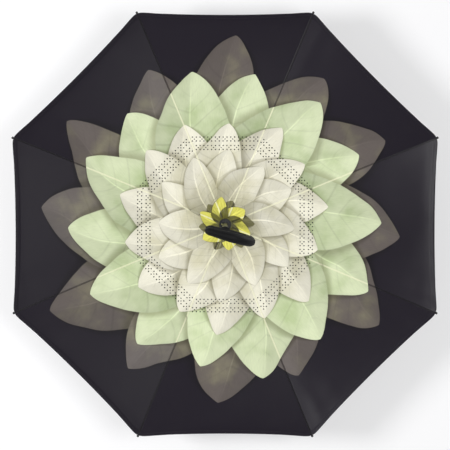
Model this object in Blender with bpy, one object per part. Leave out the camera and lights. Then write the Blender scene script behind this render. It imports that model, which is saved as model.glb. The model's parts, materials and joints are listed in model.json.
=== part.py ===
"""An inverted (reverse-folding) umbrella, open, in metres.

+Z runs up the shaft from the hand grip to the crown, and the origin is the middle of the C handle on the
shaft's axis. Eight ribs hinge on a runner that slides on the shaft. Eight struts hang from a fixed notch
under the crown and meet the ribs at their outer joints. When the runner is pulled down, the ribs fold up,
so the printed inside of the canopy ends outside.
"""

from math import asin, atan2, ceil, cos, hypot, pi, radians, sin, tan

import bmesh
import bpy
from mathutils import Matrix, Vector

# Fits
TOUCH_GAP = 0.0003
HINGE_CLEARANCE = 0.0004
CUT_OVERRUN = 0.004

# Frame layout
RIB_COUNT = 8
FIRST_RIB_ANGLE = radians(22.5)
CANOPY_RADIUS = 0.535
RUNNER_PIVOT_HEIGHT = 0.530
HUB_SPACING = 0.046
RUNNER_PIVOT_RADIUS = 0.013
NOTCH_PIVOT_RADIUS = 0.0125
RIB_LENGTH = 0.175
RIB_ANGLE = radians(2)
ROD_START_ANGLE = radians(-3)
ROD_END_ANGLE = radians(-23)

# Shaft: a steel tube
SHAFT_RADIUS = 0.006
SHAFT_WALL = 0.001

# Runner: the lower hub, which slides
RUNNER_RADIUS = 0.015
RUNNER_ABOVE_PIVOT = 0.006
RUNNER_BELOW_PIVOT = 0.005
RUNNER_SLEEVE_RADIUS = 0.0095
RUNNER_SLEEVE_DROP = 0.025
RUNNER_LIP_RADIUS = 0.0108
RUNNER_LIP_HEIGHT = 0.003

# Notch: the upper hub, which is fixed
NOTCH_RADIUS = 0.015
NOTCH_ABOVE_PIVOT = 0.005
NOTCH_BELOW_PIVOT = 0.006
NOTCH_SLEEVE_RADIUS = 0.0085
NOTCH_SLEEVE_DROP = 0.014

# Hub wires: the rings that the ribs and the struts turn on
WIRE_RADIUS = 0.0006
TONGUE_HALF_WIDTH = 0.0011
TONGUE_END_RADIUS = 0.002

# Ribs: pressed steel channels
RIB_HALF_WIDTH = 0.0021
RIB_HALF_HEIGHT = 0.0023
RIB_SHEET = 0.0006
RIB_TONGUE_LENGTH = 0.008
RIB_CRIMP_LENGTH = 0.006
RIB_BLOCK_LENGTH = 0.014
JOINT_RADIUS = 0.0026

# Rods: the bent fibreglass outer ribs, each in a steel ferrule
ROD_RADIUS = 0.0017
ROD_TIP_RADIUS = 0.00135
FERRULE_RADIUS = 0.0021
FERRULE_LENGTH = 0.016
FERRULE_STEP = 0.0002

# Struts: folded steel channels that end in a fork
STRUT_INNER_HALF_WIDTH = 0.0026
STRUT_SHEET = 0.001
STRUT_RISE = 0.0015
STRUT_DEPTH = 0.0042
STRUT_TONGUE_LENGTH = 0.009
STRUT_CRIMP_LENGTH = 0.006
STRUT_CRIMP_DEPTH = 0.0025
FORK_LENGTH = 0.075
FORK_TAPER_LENGTH = 0.010
FORK_DEPTH = 0.0022
RIVET_RADIUS = 0.0023
RIVET_HEAD = 0.0008

# Tip caps
CAP_BORE_DEPTH = 0.010
CAP_SLEEVE_RADIUS = 0.0026
CAP_BALL_RADIUS = 0.0031
CAP_LENGTH = 0.0155
CAP_PROUD = 0.0015

# Canopy: two layers of eight panels, parted where they fold
CLOTH_THICKNESS = 0.0005
LOWER_DROP = 0.0033
LOWER_TIP_DROP = 0.0040
UPPER_JOINT_RISE = 0.013
UPPER_ROD_RISE = 0.0026
UPPER_TIP_RISE = 0.0040
UPPER_SETTLE_LENGTH = 0.150
HEM_BOW = 0.0055
PANEL_SAG = 0.007
LOWER_HUB_SLOPE_END = 0.026
WASHER_RADIUS = 0.0146
WASHER_THICKNESS = 0.002

# Crown cap
CROWN_RADIUS = 0.017
CROWN_HEIGHT = 0.0105
CROWN_RIM_HEIGHT = 0.0028
CROWN_FLAT_RADIUS = 0.0075
CROWN_ROOF = 0.0035

# Top catch: the blade under the runner that keeps the umbrella open
CATCH_ANGLE = radians(195.4)
CATCH_HALF_WIDTH = 0.0015
CATCH_SHOULDER_RADIUS = 0.0093
CATCH_SHOULDER_HEIGHT = 0.0022
CATCH_TOP_FALL = 0.0006
CATCH_SLOPE_HEIGHT = 0.0097
CATCH_TAIL_HEIGHT = 0.004
CATCH_PIVOT_DROP = 0.032
CATCH_EYE_RADIUS = 0.0024
CATCH_BLADE_INNER = 0.0015
CATCH_PIN_RADIUS = 0.001
CATCH_SLOT_CLEARANCE = 0.0005

# C handle
HANDLE_ANGLE = radians(15.4)
HANDLE_HEIGHT = 0.125
HANDLE_BACK_REACH = 0.062
HANDLE_MOUTH_REACH = 0.039
HANDLE_DEPTH = 0.024
HANDLE_WIDTH = 0.020
HANDLE_END_WIDTH = 0.016
HANDLE_BACK_STRAIGHT = 0.009
HANDLE_END_CURL = radians(10)
HANDLE_CURL_LENGTH = 0.020
HANDLE_BOSS_RADIUS = 0.0115
HANDLE_BOSS_RISE = 0.0025
SOCKET_DEPTH = 0.022
HANDLE_ROUNDNESS = 2.6
END_SHARES = ((0.38, 0.93), (0.71, 0.72), (0.92, 0.42), (1.0, 0.16))

# Handle collar
COLLAR_HEIGHT = 0.023
COLLAR_FOOT_RADIUS = 0.0112
COLLAR_TOP_RADIUS = 0.0084
COLLAR_BEAD_HEIGHT = 0.003
COLLAR_BEAD_RISE = 0.0007

# Facets
SHARP_ANGLE = radians(35)
ROUND_SIDES = 24
SMALL_SIDES = 10
WIRE_SIDES = 6
WIRE_STEPS = 32
ARC_STEPS = 6
ROD_STEPS = 8
HANDLE_SIDES = 16
HANDLE_BEND_STEPS = 8
CANOPY_ROWS = 10
CANOPY_COLUMNS = 3

# Places that follow from the sizes above
HALF_PANEL_ANGLE = pi / RIB_COUNT
NOTCH_PIVOT_HEIGHT = RUNNER_PIVOT_HEIGHT + HUB_SPACING
JOINT_DISTANCE = RUNNER_PIVOT_RADIUS + RIB_LENGTH * cos(RIB_ANGLE)
JOINT_HEIGHT = RUNNER_PIVOT_HEIGHT + RIB_LENGTH * sin(RIB_ANGLE)
STRUT_LENGTH = hypot(JOINT_DISTANCE - NOTCH_PIVOT_RADIUS, NOTCH_PIVOT_HEIGHT - JOINT_HEIGHT)
STRUT_ANGLE = atan2(JOINT_HEIGHT - NOTCH_PIVOT_HEIGHT, JOINT_DISTANCE - NOTCH_PIVOT_RADIUS)
ROD_BEND_RADIUS = (CANOPY_RADIUS - JOINT_DISTANCE) / (sin(ROD_START_ANGLE) - sin(ROD_END_ANGLE))
RUNNER_BOTTOM = RUNNER_PIVOT_HEIGHT - RUNNER_SLEEVE_DROP
CROWN_FOOT = NOTCH_PIVOT_HEIGHT + NOTCH_ABOVE_PIVOT + CLOTH_THICKNESS + 2 * TOUCH_GAP
SHAFT_TOP = CROWN_FOOT + CROWN_HEIGHT - CROWN_ROOF - TOUCH_GAP
HANDLE_TOP = HANDLE_HEIGHT / 2 + HANDLE_BOSS_RISE
SHAFT_BOTTOM = HANDLE_TOP - SOCKET_DEPTH
CATCH_TOP = RUNNER_BOTTOM - TOUCH_GAP
CATCH_PIVOT = CATCH_TOP - CATCH_PIVOT_DROP
SHAFT_BORE = SHAFT_RADIUS - SHAFT_WALL
HUB_CLAMP_END = (RUNNER_RADIUS + TOUCH_GAP) / cos(HALF_PANEL_ANGLE)
CROWN_CLAMP_END = (CROWN_RADIUS + TOUCH_GAP) / cos(HALF_PANEL_ANGLE)


def clear_scene():
    for obj in list(bpy.data.objects):
        bpy.data.objects.remove(obj, do_unlink=True)


def material(name, colour, roughness, metallic=0.0):
    made = bpy.data.materials.new(name)
    made.use_nodes = True
    shader = made.node_tree.nodes["Principled BSDF"]
    shader.inputs["Base Color"].default_value = (*colour, 1.0)
    shader.inputs["Roughness"].default_value = roughness
    shader.inputs["Metallic"].default_value = metallic
    return made


def make_materials():
    return {
        "plastic": material("black_plastic", (0.012, 0.012, 0.013), 0.42),
        "rubber": material("black_rubber", (0.010, 0.010, 0.011), 0.62),
        "painted_steel": material("black_painted_steel", (0.016, 0.016, 0.018), 0.35, 0.4),
        "steel": material("bright_steel", (0.55, 0.56, 0.58), 0.28, 1.0),
        "fibreglass": material("black_fibreglass", (0.014, 0.014, 0.015), 0.3),
        "printed_cloth": material("printed_cloth", (0.42, 0.44, 0.33), 0.7),
        "black_cloth": material("black_cloth", (0.018, 0.016, 0.021), 0.68),
    }


def on_plane(distance, height, side=0.0):
    """A point of a rib's own frame: distance from the shaft along the rib, sideways, and height."""
    return Vector((distance, side, height))


def rib_turn(index):
    return Matrix.Rotation(FIRST_RIB_ANGLE + 2 * HALF_PANEL_ANGLE * index, 4, "Z")


def mesh_of(name, points, faces):
    mesh = bpy.data.meshes.new(name)
    mesh.from_pydata([tuple(p) for p in points], [], faces)
    tidy = bmesh.new()
    tidy.from_mesh(mesh)
    bmesh.ops.remove_doubles(tidy, verts=tidy.verts, dist=TOUCH_GAP / 100)
    bmesh.ops.recalc_face_normals(tidy, faces=tidy.faces)
    tidy.to_mesh(mesh)
    tidy.free()
    return mesh


def add(name, mesh, finish, matrix=None):
    obj = bpy.data.objects.new(name, mesh)
    bpy.context.collection.objects.link(obj)
    mesh.materials.clear()
    mesh.materials.append(finish)
    mesh.shade_smooth()
    mesh.set_sharp_from_angle(angle=SHARP_ANGLE)
    if matrix is not None:
        obj.matrix_world = matrix
    return obj


def combined(name, base, others, operation):
    """The base mesh with the others joined to it or cut from it, as a mesh of its own."""
    body = bpy.data.objects.new(name, base)
    bpy.context.collection.objects.link(body)
    helpers = []
    for mesh in others:
        helper = bpy.data.objects.new(name + "_helper", mesh)
        helper.hide_render = True
        helper.display_type = "WIRE"
        bpy.context.collection.objects.link(helper)
        change = body.modifiers.new("change", "BOOLEAN")
        change.operation = operation
        change.solver = "EXACT"
        change.object = helper
        helpers.append(helper)
    graph = bpy.context.evaluated_depsgraph_get()
    made = bpy.data.meshes.new_from_object(body.evaluated_get(graph))
    made.name = name
    for obj in [body, *helpers]:
        bpy.data.objects.remove(obj, do_unlink=True)
    return made


def turned(name, profile, sides=ROUND_SIDES):
    """A closed outline of (radius, height) points turned about Z. Its ends may lie on the axis."""
    points = []
    faces = []
    count = len(profile)
    for step in range(sides):
        turn = 2 * pi * step / sides
        points += [Vector((r * cos(turn), r * sin(turn), z)) for r, z in profile]
    open_ended = profile[0][0] == 0 and profile[-1][0] == 0
    spans = count - 1 if open_ended else count
    for step in range(sides):
        after = (step + 1) % sides
        for i in range(spans):
            k = (i + 1) % count
            ring = [step * count + i, step * count + k, after * count + k, after * count + i]
            if profile[i][0] == 0:
                ring = ring[:3]
            elif profile[k][0] == 0:
                ring = [ring[0], ring[1], ring[3]]
            faces.append(ring)
    return mesh_of(name, points, faces)


def plate(name, outline, half_width, centre=0.0):
    """An outline of (x, z) points given thickness along Y."""
    count = len(outline)
    points = [Vector((x, centre - half_width, z)) for x, z in outline]
    points += [Vector((x, centre + half_width, z)) for x, z in outline]
    faces = [list(range(count)), list(range(2 * count - 1, count - 1, -1))]
    for i in range(count):
        k = (i + 1) % count
        faces.append([i, k, count + k, count + i])
    return mesh_of(name, points, faces)


def box(name, x, y, z):
    """A box between the two values of each of x, y and z."""
    outline = [(x[0], z[0]), (x[1], z[0]), (x[1], z[1]), (x[0], z[1])]
    return plate(name, outline, (y[1] - y[0]) / 2, (y[0] + y[1]) / 2)


def disc(name, radius, y, x=0.0, z=0.0, sides=SMALL_SIDES):
    """A round bar along Y between the two values of y."""
    outline = arc((x, z), radius, 0, 2 * pi, sides)[:-1]
    return plate(name, outline, (y[1] - y[0]) / 2, (y[0] + y[1]) / 2)


def arc(centre, radius, start, end, steps):
    turns = [start + (end - start) * i / steps for i in range(steps + 1)]
    return [(centre[0] + radius * cos(t), centre[1] + radius * sin(t)) for t in turns]


def swept(name, rings):
    """A skin through rings of equal point counts, closed at both ends."""
    count = len(rings[0])
    points = [p for ring in rings for p in ring]
    faces = [list(range(count)), list(range(len(points) - 1, len(points) - count - 1, -1))]
    for i in range(len(rings) - 1):
        for j in range(count):
            k = (j + 1) % count
            faces.append([i * count + j, i * count + k, (i + 1) * count + k, (i + 1) * count + j])
    return mesh_of(name, points, faces)


def rod_angle(distance):
    return asin(sin(ROD_START_ANGLE) - (distance - JOINT_DISTANCE) / ROD_BEND_RADIUS)


def frame_height(distance):
    """The height of a rib's middle line, then of its rod's, at a distance from the shaft."""
    if distance <= JOINT_DISTANCE:
        return RUNNER_PIVOT_HEIGHT + (distance - RUNNER_PIVOT_RADIUS) * tan(RIB_ANGLE)
    slope = rod_angle(distance)
    return JOINT_HEIGHT + ROD_BEND_RADIUS * (cos(slope) - cos(ROD_START_ANGLE))


def between(value, low, high):
    """How far the value lies from low to high, from 0 to 1."""
    return min(max((value - low) / (high - low), 0), 1)


def tip_share(distance):
    return between(distance, CANOPY_RADIUS - 2 * CAP_LENGTH, CANOPY_RADIUS - CAP_LENGTH)


def lower_height(distance):
    """The printed layer's middle surface along a rib."""
    drop = LOWER_DROP + (LOWER_TIP_DROP - LOWER_DROP) * tip_share(distance)
    slope = rod_angle(distance) if distance > JOINT_DISTANCE else RIB_ANGLE
    out = frame_height(distance) - drop / cos(slope)
    hub = RUNNER_PIVOT_HEIGHT - RUNNER_BELOW_PIVOT - TOUCH_GAP - CLOTH_THICKNESS / 2
    share = between(distance, HUB_CLAMP_END, LOWER_HUB_SLOPE_END)
    return hub + (out - hub) * share


def upper_height(distance):
    """The black layer's middle surface along a rib."""
    crown = NOTCH_PIVOT_HEIGHT + NOTCH_ABOVE_PIVOT + TOUCH_GAP + CLOTH_THICKNESS / 2
    if distance <= JOINT_DISTANCE:
        share = between(distance, CROWN_CLAMP_END, JOINT_DISTANCE)
        return crown + (JOINT_HEIGHT + UPPER_JOINT_RISE - crown) * share
    left = 1 - between(distance, JOINT_DISTANCE, JOINT_DISTANCE + UPPER_SETTLE_LENGTH)
    rise = UPPER_ROD_RISE + (UPPER_TIP_RISE - UPPER_ROD_RISE) * tip_share(distance)
    rise += (UPPER_JOINT_RISE - UPPER_ROD_RISE) * left**2
    return frame_height(distance) + rise / cos(rod_angle(distance))


def canopy_rows(bends):
    """Distances from the shaft of the rows of a panel, with one on each bend of its profile."""
    rows = []
    for low, high in zip(bends, bends[1:]):
        steps = max(ceil(CANOPY_ROWS * (high - low) / CANOPY_RADIUS), 1)
        rows += [low + (high - low) * i / steps for i in range(steps)]
    return rows + [CANOPY_RADIUS]


def panel_point(distance, across, inner, height_of):
    """A point of the cloth that a rib carries. across runs from -1 to 1, from fold to fold."""
    far = 1 - (1 - abs(across)) ** 2
    reach = CANOPY_RADIUS - HEM_BOW / cos(HALF_PANEL_ANGLE) * far
    along = inner + (distance - inner) * (reach - inner) / (CANOPY_RADIUS - inner)
    half = along * sin(HALF_PANEL_ANGLE)
    side = across * (half - TOUCH_GAP / 2)
    sag = PANEL_SAG * far * sin(pi * between(along, CROWN_CLAMP_END, CANOPY_RADIUS))
    out = along - abs(side) * sin(HALF_PANEL_ANGLE)
    return on_plane(out, height_of(along) - sag, side * cos(HALF_PANEL_ANGLE))


def canopy_panel_mesh(name, bends, height_of):
    columns = [i / CANOPY_COLUMNS for i in range(-CANOPY_COLUMNS, CANOPY_COLUMNS + 1)]
    inner = bends[0]
    rows = canopy_rows(bends)
    width = len(columns)
    middle = [panel_point(d, c, inner, height_of) for d in rows for c in columns]
    half = Vector((0, 0, CLOTH_THICKNESS / 2))
    points = [p + half for p in middle] + [p - half for p in middle]
    count = len(middle)
    faces = []
    for i in range(len(rows) - 1):
        for j in range(width - 1):
            quad = [i * width + j, i * width + j + 1, (i + 1) * width + j + 1, (i + 1) * width + j]
            faces.append(quad)
            faces.append([count + k for k in reversed(quad)])
    left = [i * width for i in range(len(rows))]
    right = [i * width + width - 1 for i in range(len(rows))]
    last = (len(rows) - 1) * width
    rim = list(range(width)) + right[1:-1] + list(range(last + width - 1, last - 1, -1)) + left[-2:0:-1]
    for a, b in zip(rim, rim[1:] + rim[:1]):
        faces.append([a, b, count + b, count + a])
    return mesh_of(name, points, faces)


def tongue(name, length):
    """The flat end of a rib or a strut that turns on its hub's wire, without its hole."""
    outline = arc((0, 0), TONGUE_END_RADIUS, pi / 2, 3 * pi / 2, ARC_STEPS)
    outline += [(length, -TONGUE_END_RADIUS), (length, TONGUE_END_RADIUS)]
    return plate(name, outline, TONGUE_HALF_WIDTH)


def wire_hole(name):
    reach = TONGUE_HALF_WIDTH + CUT_OVERRUN
    return disc(name, WIRE_RADIUS + HINGE_CLEARANCE, (-reach, reach))


def rib_channel_mesh():
    """A rib from its wire hole at x = 0 to its outer joint at x = RIB_LENGTH, open along its top."""
    y = (-RIB_HALF_WIDTH, RIB_HALF_WIDTH)
    z = (-RIB_HALF_HEIGHT, RIB_HALF_HEIGHT)
    crimp_end = RIB_TONGUE_LENGTH + RIB_CRIMP_LENGTH
    block_start = RIB_LENGTH - RIB_BLOCK_LENGTH
    bar = box("bar", (RIB_TONGUE_LENGTH, block_start + RIB_SHEET), y, z)
    inner = RIB_HALF_WIDTH - RIB_SHEET
    groove = box("groove", (crimp_end, block_start), (-inner, inner), (z[0] + RIB_SHEET, z[1] + CUT_OVERRUN))
    channel = combined("channel", bar, [groove], "DIFFERENCE")
    outline = arc((RIB_LENGTH, 0), JOINT_RADIUS, -pi / 2, pi / 2, 2 * ARC_STEPS)
    outline += [(block_start, z[1]), (block_start, z[0])]
    block = plate("block", outline, RIB_HALF_WIDTH)
    whole = combined("rib", channel, [tongue("tongue", crimp_end - RIB_SHEET), block], "UNION")
    return combined("rib_channel", whole, [wire_hole("hole")], "DIFFERENCE")


def rod_frame(angle):
    """The rod's point, its direction, and its upward normal where its slope is the given angle."""
    x = JOINT_DISTANCE + ROD_BEND_RADIUS * (sin(ROD_START_ANGLE) - sin(angle))
    z = JOINT_HEIGHT + ROD_BEND_RADIUS * (cos(angle) - cos(ROD_START_ANGLE))
    return on_plane(x, z), Vector((cos(angle), 0, sin(angle))), Vector((-sin(angle), 0, cos(angle)))


def rod_slope(length):
    return ROD_START_ANGLE - length / ROD_BEND_RADIUS


def rod_length():
    return (ROD_START_ANGLE - ROD_END_ANGLE) * ROD_BEND_RADIUS


def cap_mouth():
    """How far along the rod its tip cap begins."""
    return rod_length() + CAP_PROUD - CAP_LENGTH


def rib_rod_mesh():
    """A rod and its ferrule as one bar, from just past the rib's end to inside the tip cap."""
    start = JOINT_RADIUS + HINGE_CLEARANCE
    collar = start + FERRULE_LENGTH
    end = cap_mouth() + CAP_BORE_DEPTH - TOUCH_GAP
    stations = [(start, FERRULE_RADIUS), (collar, FERRULE_RADIUS), (collar + FERRULE_STEP, ROD_RADIUS)]
    for i in range(1, ROD_STEPS + 1):
        share = i / ROD_STEPS
        length = collar + (end - collar) * share
        stations.append((length, ROD_RADIUS + (ROD_TIP_RADIUS - ROD_RADIUS) * share))
    rings = []
    for length, radius in stations:
        point, _, up = rod_frame(rod_slope(length))
        side = Vector((0, 1, 0))
        turns = [2 * pi * i / SMALL_SIDES for i in range(SMALL_SIDES)]
        rings.append([point + side * (radius * cos(t)) + up * (radius * sin(t)) for t in turns])
    return swept("rib_rod", rings)


def tip_cap_mesh():
    """A cap over the rod's end, with a blind bore, made along +Z from its mouth."""
    bore = ROD_TIP_RADIUS + TOUCH_GAP
    ball = CAP_LENGTH - CAP_BALL_RADIUS
    profile = [(0, CAP_BORE_DEPTH), (bore, CAP_BORE_DEPTH), (bore, 0), (CAP_SLEEVE_RADIUS, 0)]
    neck = ball - CAP_BALL_RADIUS / 2
    profile.append((CAP_SLEEVE_RADIUS, neck))
    start = asin((neck - ball) / CAP_BALL_RADIUS)
    turns = [start + (pi / 2 - start) * i / ARC_STEPS for i in range(1, ARC_STEPS)]
    profile += [(CAP_BALL_RADIUS * cos(t), ball + CAP_BALL_RADIUS * sin(t)) for t in turns]
    profile.append((0, CAP_LENGTH))
    mesh = turned("tip_cap", profile, SMALL_SIDES)
    point, along, up = rod_frame(rod_slope(cap_mouth()))
    side = along.cross(up)
    turn = Matrix((up, side, along)).transposed().to_4x4()
    turn.translation = point
    mesh.transform(turn)
    if turn.determinant() < 0:
        mesh.flip_normals()
    return mesh


def strut_mesh():
    """A strut from its wire hole at x = 0 to its fork at x = STRUT_LENGTH, open along its top."""
    outer = STRUT_INNER_HALF_WIDTH + STRUT_SHEET
    fork_start = STRUT_LENGTH - FORK_LENGTH
    crimp_end = STRUT_TONGUE_LENGTH + STRUT_CRIMP_LENGTH
    side = [(STRUT_TONGUE_LENGTH, STRUT_RISE), (STRUT_TONGUE_LENGTH, -STRUT_CRIMP_DEPTH)]
    side += [(crimp_end, -STRUT_CRIMP_DEPTH), (crimp_end, -STRUT_DEPTH), (fork_start, -STRUT_DEPTH)]
    side.append((fork_start + FORK_TAPER_LENGTH, -FORK_DEPTH))
    side += arc((STRUT_LENGTH, 0), JOINT_RADIUS, -pi / 2, pi / 2, 2 * ARC_STEPS)
    side.append((STRUT_LENGTH - 2 * JOINT_RADIUS, STRUT_RISE))
    middle = (outer + STRUT_INNER_HALF_WIDTH) / 2
    parts = [plate("side", side, STRUT_SHEET / 2, sign * middle) for sign in (-1, 1)]
    web = (-STRUT_DEPTH, -STRUT_DEPTH + STRUT_SHEET)
    inside = STRUT_INNER_HALF_WIDTH + STRUT_SHEET / 2
    parts.append(box("web", (crimp_end + STRUT_SHEET, fork_start), (-inside, inside), web))
    crimp = (STRUT_TONGUE_LENGTH, crimp_end + 2 * STRUT_SHEET)
    parts.append(box("crimp", crimp, (-inside, inside), (-STRUT_CRIMP_DEPTH, STRUT_RISE)))
    parts.append(box("foot", (crimp_end, crimp[1]), (-inside, inside), (web[0], STRUT_RISE - STRUT_SHEET)))
    for sign in (-1, 1):
        y = sorted((sign * middle, sign * (outer + RIVET_HEAD)))
        parts.append(disc("rivet", RIVET_RADIUS, y, STRUT_LENGTH))
    base = tongue("tongue", crimp_end)
    whole = combined("strut", base, parts, "UNION")
    return combined("strut", whole, [wire_hole("hole")], "DIFFERENCE")


def hub_slots(name, pivot_radius, height, low, high):
    """Cutters for the slots that the flat ends turn in, between two heights from the pivots."""
    half = TONGUE_HALF_WIDTH + HINGE_CLEARANCE
    inner = pivot_radius - TONGUE_END_RADIUS - HINGE_CLEARANCE
    outer = max(RUNNER_RADIUS, NOTCH_RADIUS) + CUT_OVERRUN
    cutters = []
    for index in range(RIB_COUNT):
        cutter = box(name, (inner, outer), (-half, half), (height + low, height + high))
        cutter.transform(rib_turn(index))
        cutters.append(cutter)
    return cutters


def wire_groove(pivot_radius, outer, height):
    """The points of a hub's outline that go round the wire's groove, from below it to above it."""
    room = WIRE_RADIUS + TOUCH_GAP
    floor = pivot_radius - room
    return [(outer, height - room), (floor, height - room), (floor, height + room), (outer, height + room)]


def make_runner(finish):
    bore = SHAFT_RADIUS + HINGE_CLEARANCE
    base = RUNNER_PIVOT_HEIGHT - RUNNER_BELOW_PIVOT
    top = RUNNER_PIVOT_HEIGHT + RUNNER_ABOVE_PIVOT
    lip_top = RUNNER_BOTTOM + RUNNER_LIP_HEIGHT
    profile = [(bore, RUNNER_BOTTOM), (RUNNER_LIP_RADIUS, RUNNER_BOTTOM), (RUNNER_LIP_RADIUS, lip_top)]
    profile += [(RUNNER_SLEEVE_RADIUS, lip_top + RUNNER_LIP_HEIGHT / 2), (RUNNER_SLEEVE_RADIUS, base)]
    profile.append((RUNNER_RADIUS, base))
    profile += wire_groove(RUNNER_PIVOT_RADIUS, RUNNER_RADIUS, RUNNER_PIVOT_HEIGHT)
    profile += [(RUNNER_RADIUS, top), (bore, top)]
    floor = -TONGUE_END_RADIUS - HINGE_CLEARANCE
    above = RUNNER_ABOVE_PIVOT + CUT_OVERRUN
    cutters = hub_slots("slot", RUNNER_PIVOT_RADIUS, RUNNER_PIVOT_HEIGHT, floor, above)
    add("runner", combined("runner", turned("runner", profile), cutters, "DIFFERENCE"), finish)


def make_notch(finish):
    bore = SHAFT_RADIUS + TOUCH_GAP
    base = NOTCH_PIVOT_HEIGHT - NOTCH_BELOW_PIVOT
    top = NOTCH_PIVOT_HEIGHT + NOTCH_ABOVE_PIVOT
    foot = NOTCH_PIVOT_HEIGHT - NOTCH_SLEEVE_DROP
    profile = [(bore, foot), (NOTCH_SLEEVE_RADIUS, foot), (NOTCH_SLEEVE_RADIUS, base), (NOTCH_RADIUS, base)]
    profile += wire_groove(NOTCH_PIVOT_RADIUS, NOTCH_RADIUS, NOTCH_PIVOT_HEIGHT)
    profile += [(NOTCH_RADIUS, top), (bore, top)]
    roof = TONGUE_END_RADIUS + HINGE_CLEARANCE
    below = -NOTCH_BELOW_PIVOT - CUT_OVERRUN
    cutters = hub_slots("slot", NOTCH_PIVOT_RADIUS, NOTCH_PIVOT_HEIGHT, below, roof)
    add("top_notch", combined("top_notch", turned("top_notch", profile), cutters, "DIFFERENCE"), finish)


def make_wire(name, radius, height, finish):
    profile = [(radius + x, height + z) for x, z in arc((0, 0), WIRE_RADIUS, 0, 2 * pi, WIRE_SIDES)[:-1]]
    add(name, turned(name, profile, WIRE_STEPS), finish)


def make_crown(finish):
    bore = SHAFT_RADIUS + TOUCH_GAP
    top = CROWN_FOOT + CROWN_HEIGHT
    roof = top - CROWN_ROOF
    rim = CROWN_FOOT + CROWN_RIM_HEIGHT
    profile = [(0, roof), (bore, roof), (bore, CROWN_FOOT), (CROWN_RADIUS, CROWN_FOOT), (CROWN_RADIUS, rim)]
    for i in range(1, ARC_STEPS):
        turn = pi / 2 * i / ARC_STEPS
        out = CROWN_FLAT_RADIUS + (CROWN_RADIUS - CROWN_FLAT_RADIUS) * cos(turn)
        profile.append((out, rim + (top - rim) * sin(turn)))
    profile += [(CROWN_FLAT_RADIUS, top), (0, top)]
    add("crown_cap", turned("crown_cap", profile), finish)


def make_washer(finish):
    """The ring that clamps the printed layer under the runner's hub."""
    top = RUNNER_PIVOT_HEIGHT - RUNNER_BELOW_PIVOT - CLOTH_THICKNESS - 2 * TOUCH_GAP
    foot = top - WASHER_THICKNESS
    inner = RUNNER_SLEEVE_RADIUS + TOUCH_GAP
    edge = WASHER_RADIUS - WASHER_THICKNESS / 2
    profile = [(inner, foot), (edge, foot), (WASHER_RADIUS, foot + WASHER_THICKNESS / 2)]
    profile += [(WASHER_RADIUS, top), (inner, top)]
    add("canopy_washer", turned("canopy_washer", profile), finish)


def make_shaft(finish):
    profile = [(SHAFT_BORE, SHAFT_BOTTOM), (SHAFT_RADIUS, SHAFT_BOTTOM)]
    profile += [(SHAFT_RADIUS, SHAFT_TOP), (SHAFT_BORE, SHAFT_TOP)]
    tube = turned("shaft", profile)
    half = CATCH_HALF_WIDTH + CATCH_SLOT_CLEARANCE
    slot_top = RUNNER_BOTTOM + CATCH_SLOT_CLEARANCE
    slot_foot = CATCH_TOP - CATCH_SHOULDER_HEIGHT - CATCH_SLOPE_HEIGHT - CATCH_SLOT_CLEARANCE
    slot = box("slot", (0, SHAFT_RADIUS + CUT_OVERRUN), (-half, half), (slot_foot, slot_top))
    reach = SHAFT_RADIUS + CUT_OVERRUN
    hole = disc("hole", CATCH_PIN_RADIUS + TOUCH_GAP, (-reach, reach), 0.0, CATCH_PIVOT)
    turn = Matrix.Rotation(CATCH_ANGLE, 4, "Z")
    slot.transform(turn)
    hole.transform(turn)
    add("shaft", combined("shaft", tube, [slot, hole], "DIFFERENCE"), finish)


def make_catch(finish, pin_finish):
    """A blade that turns on a pin through the shaft. Its shoulder stands under the open runner.

    The shoulder's top falls outwards, because the blade's outer corner rises as it is pressed in.
    """
    eye = CATCH_EYE_RADIUS
    outer = SHAFT_BORE - CATCH_SLOT_CLEARANCE
    slope_top = CATCH_TOP - CATCH_SHOULDER_HEIGHT
    slope_foot = slope_top - CATCH_SLOPE_HEIGHT
    outline = arc((0, CATCH_PIVOT), eye, pi, 2 * pi, ARC_STEPS)
    outline += [(outer, slope_foot - CATCH_TAIL_HEIGHT), (outer, slope_foot)]
    outline.append((CATCH_SHOULDER_RADIUS, slope_top))
    outline.append((CATCH_SHOULDER_RADIUS, CATCH_TOP - CATCH_TOP_FALL))
    outline += [(SHAFT_RADIUS + HINGE_CLEARANCE, CATCH_TOP), (CATCH_BLADE_INNER, CATCH_TOP)]
    outline.append((CATCH_BLADE_INNER, slope_foot - CATCH_TAIL_HEIGHT))
    blade = plate("blade", outline, CATCH_HALF_WIDTH)
    reach = CATCH_HALF_WIDTH + CUT_OVERRUN
    hole = disc("hole", CATCH_PIN_RADIUS + TOUCH_GAP, (-reach, reach), 0.0, CATCH_PIVOT)
    turn = Matrix.Rotation(CATCH_ANGLE, 4, "Z")
    blade.transform(turn)
    hole.transform(turn)
    add("top_catch", combined("top_catch", blade, [hole], "DIFFERENCE"), finish)
    pin = disc("catch_pin", CATCH_PIN_RADIUS, (-SHAFT_RADIUS, SHAFT_RADIUS), 0.0, CATCH_PIVOT)
    pin.transform(turn)
    add("catch_pin", pin, pin_finish)


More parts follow.
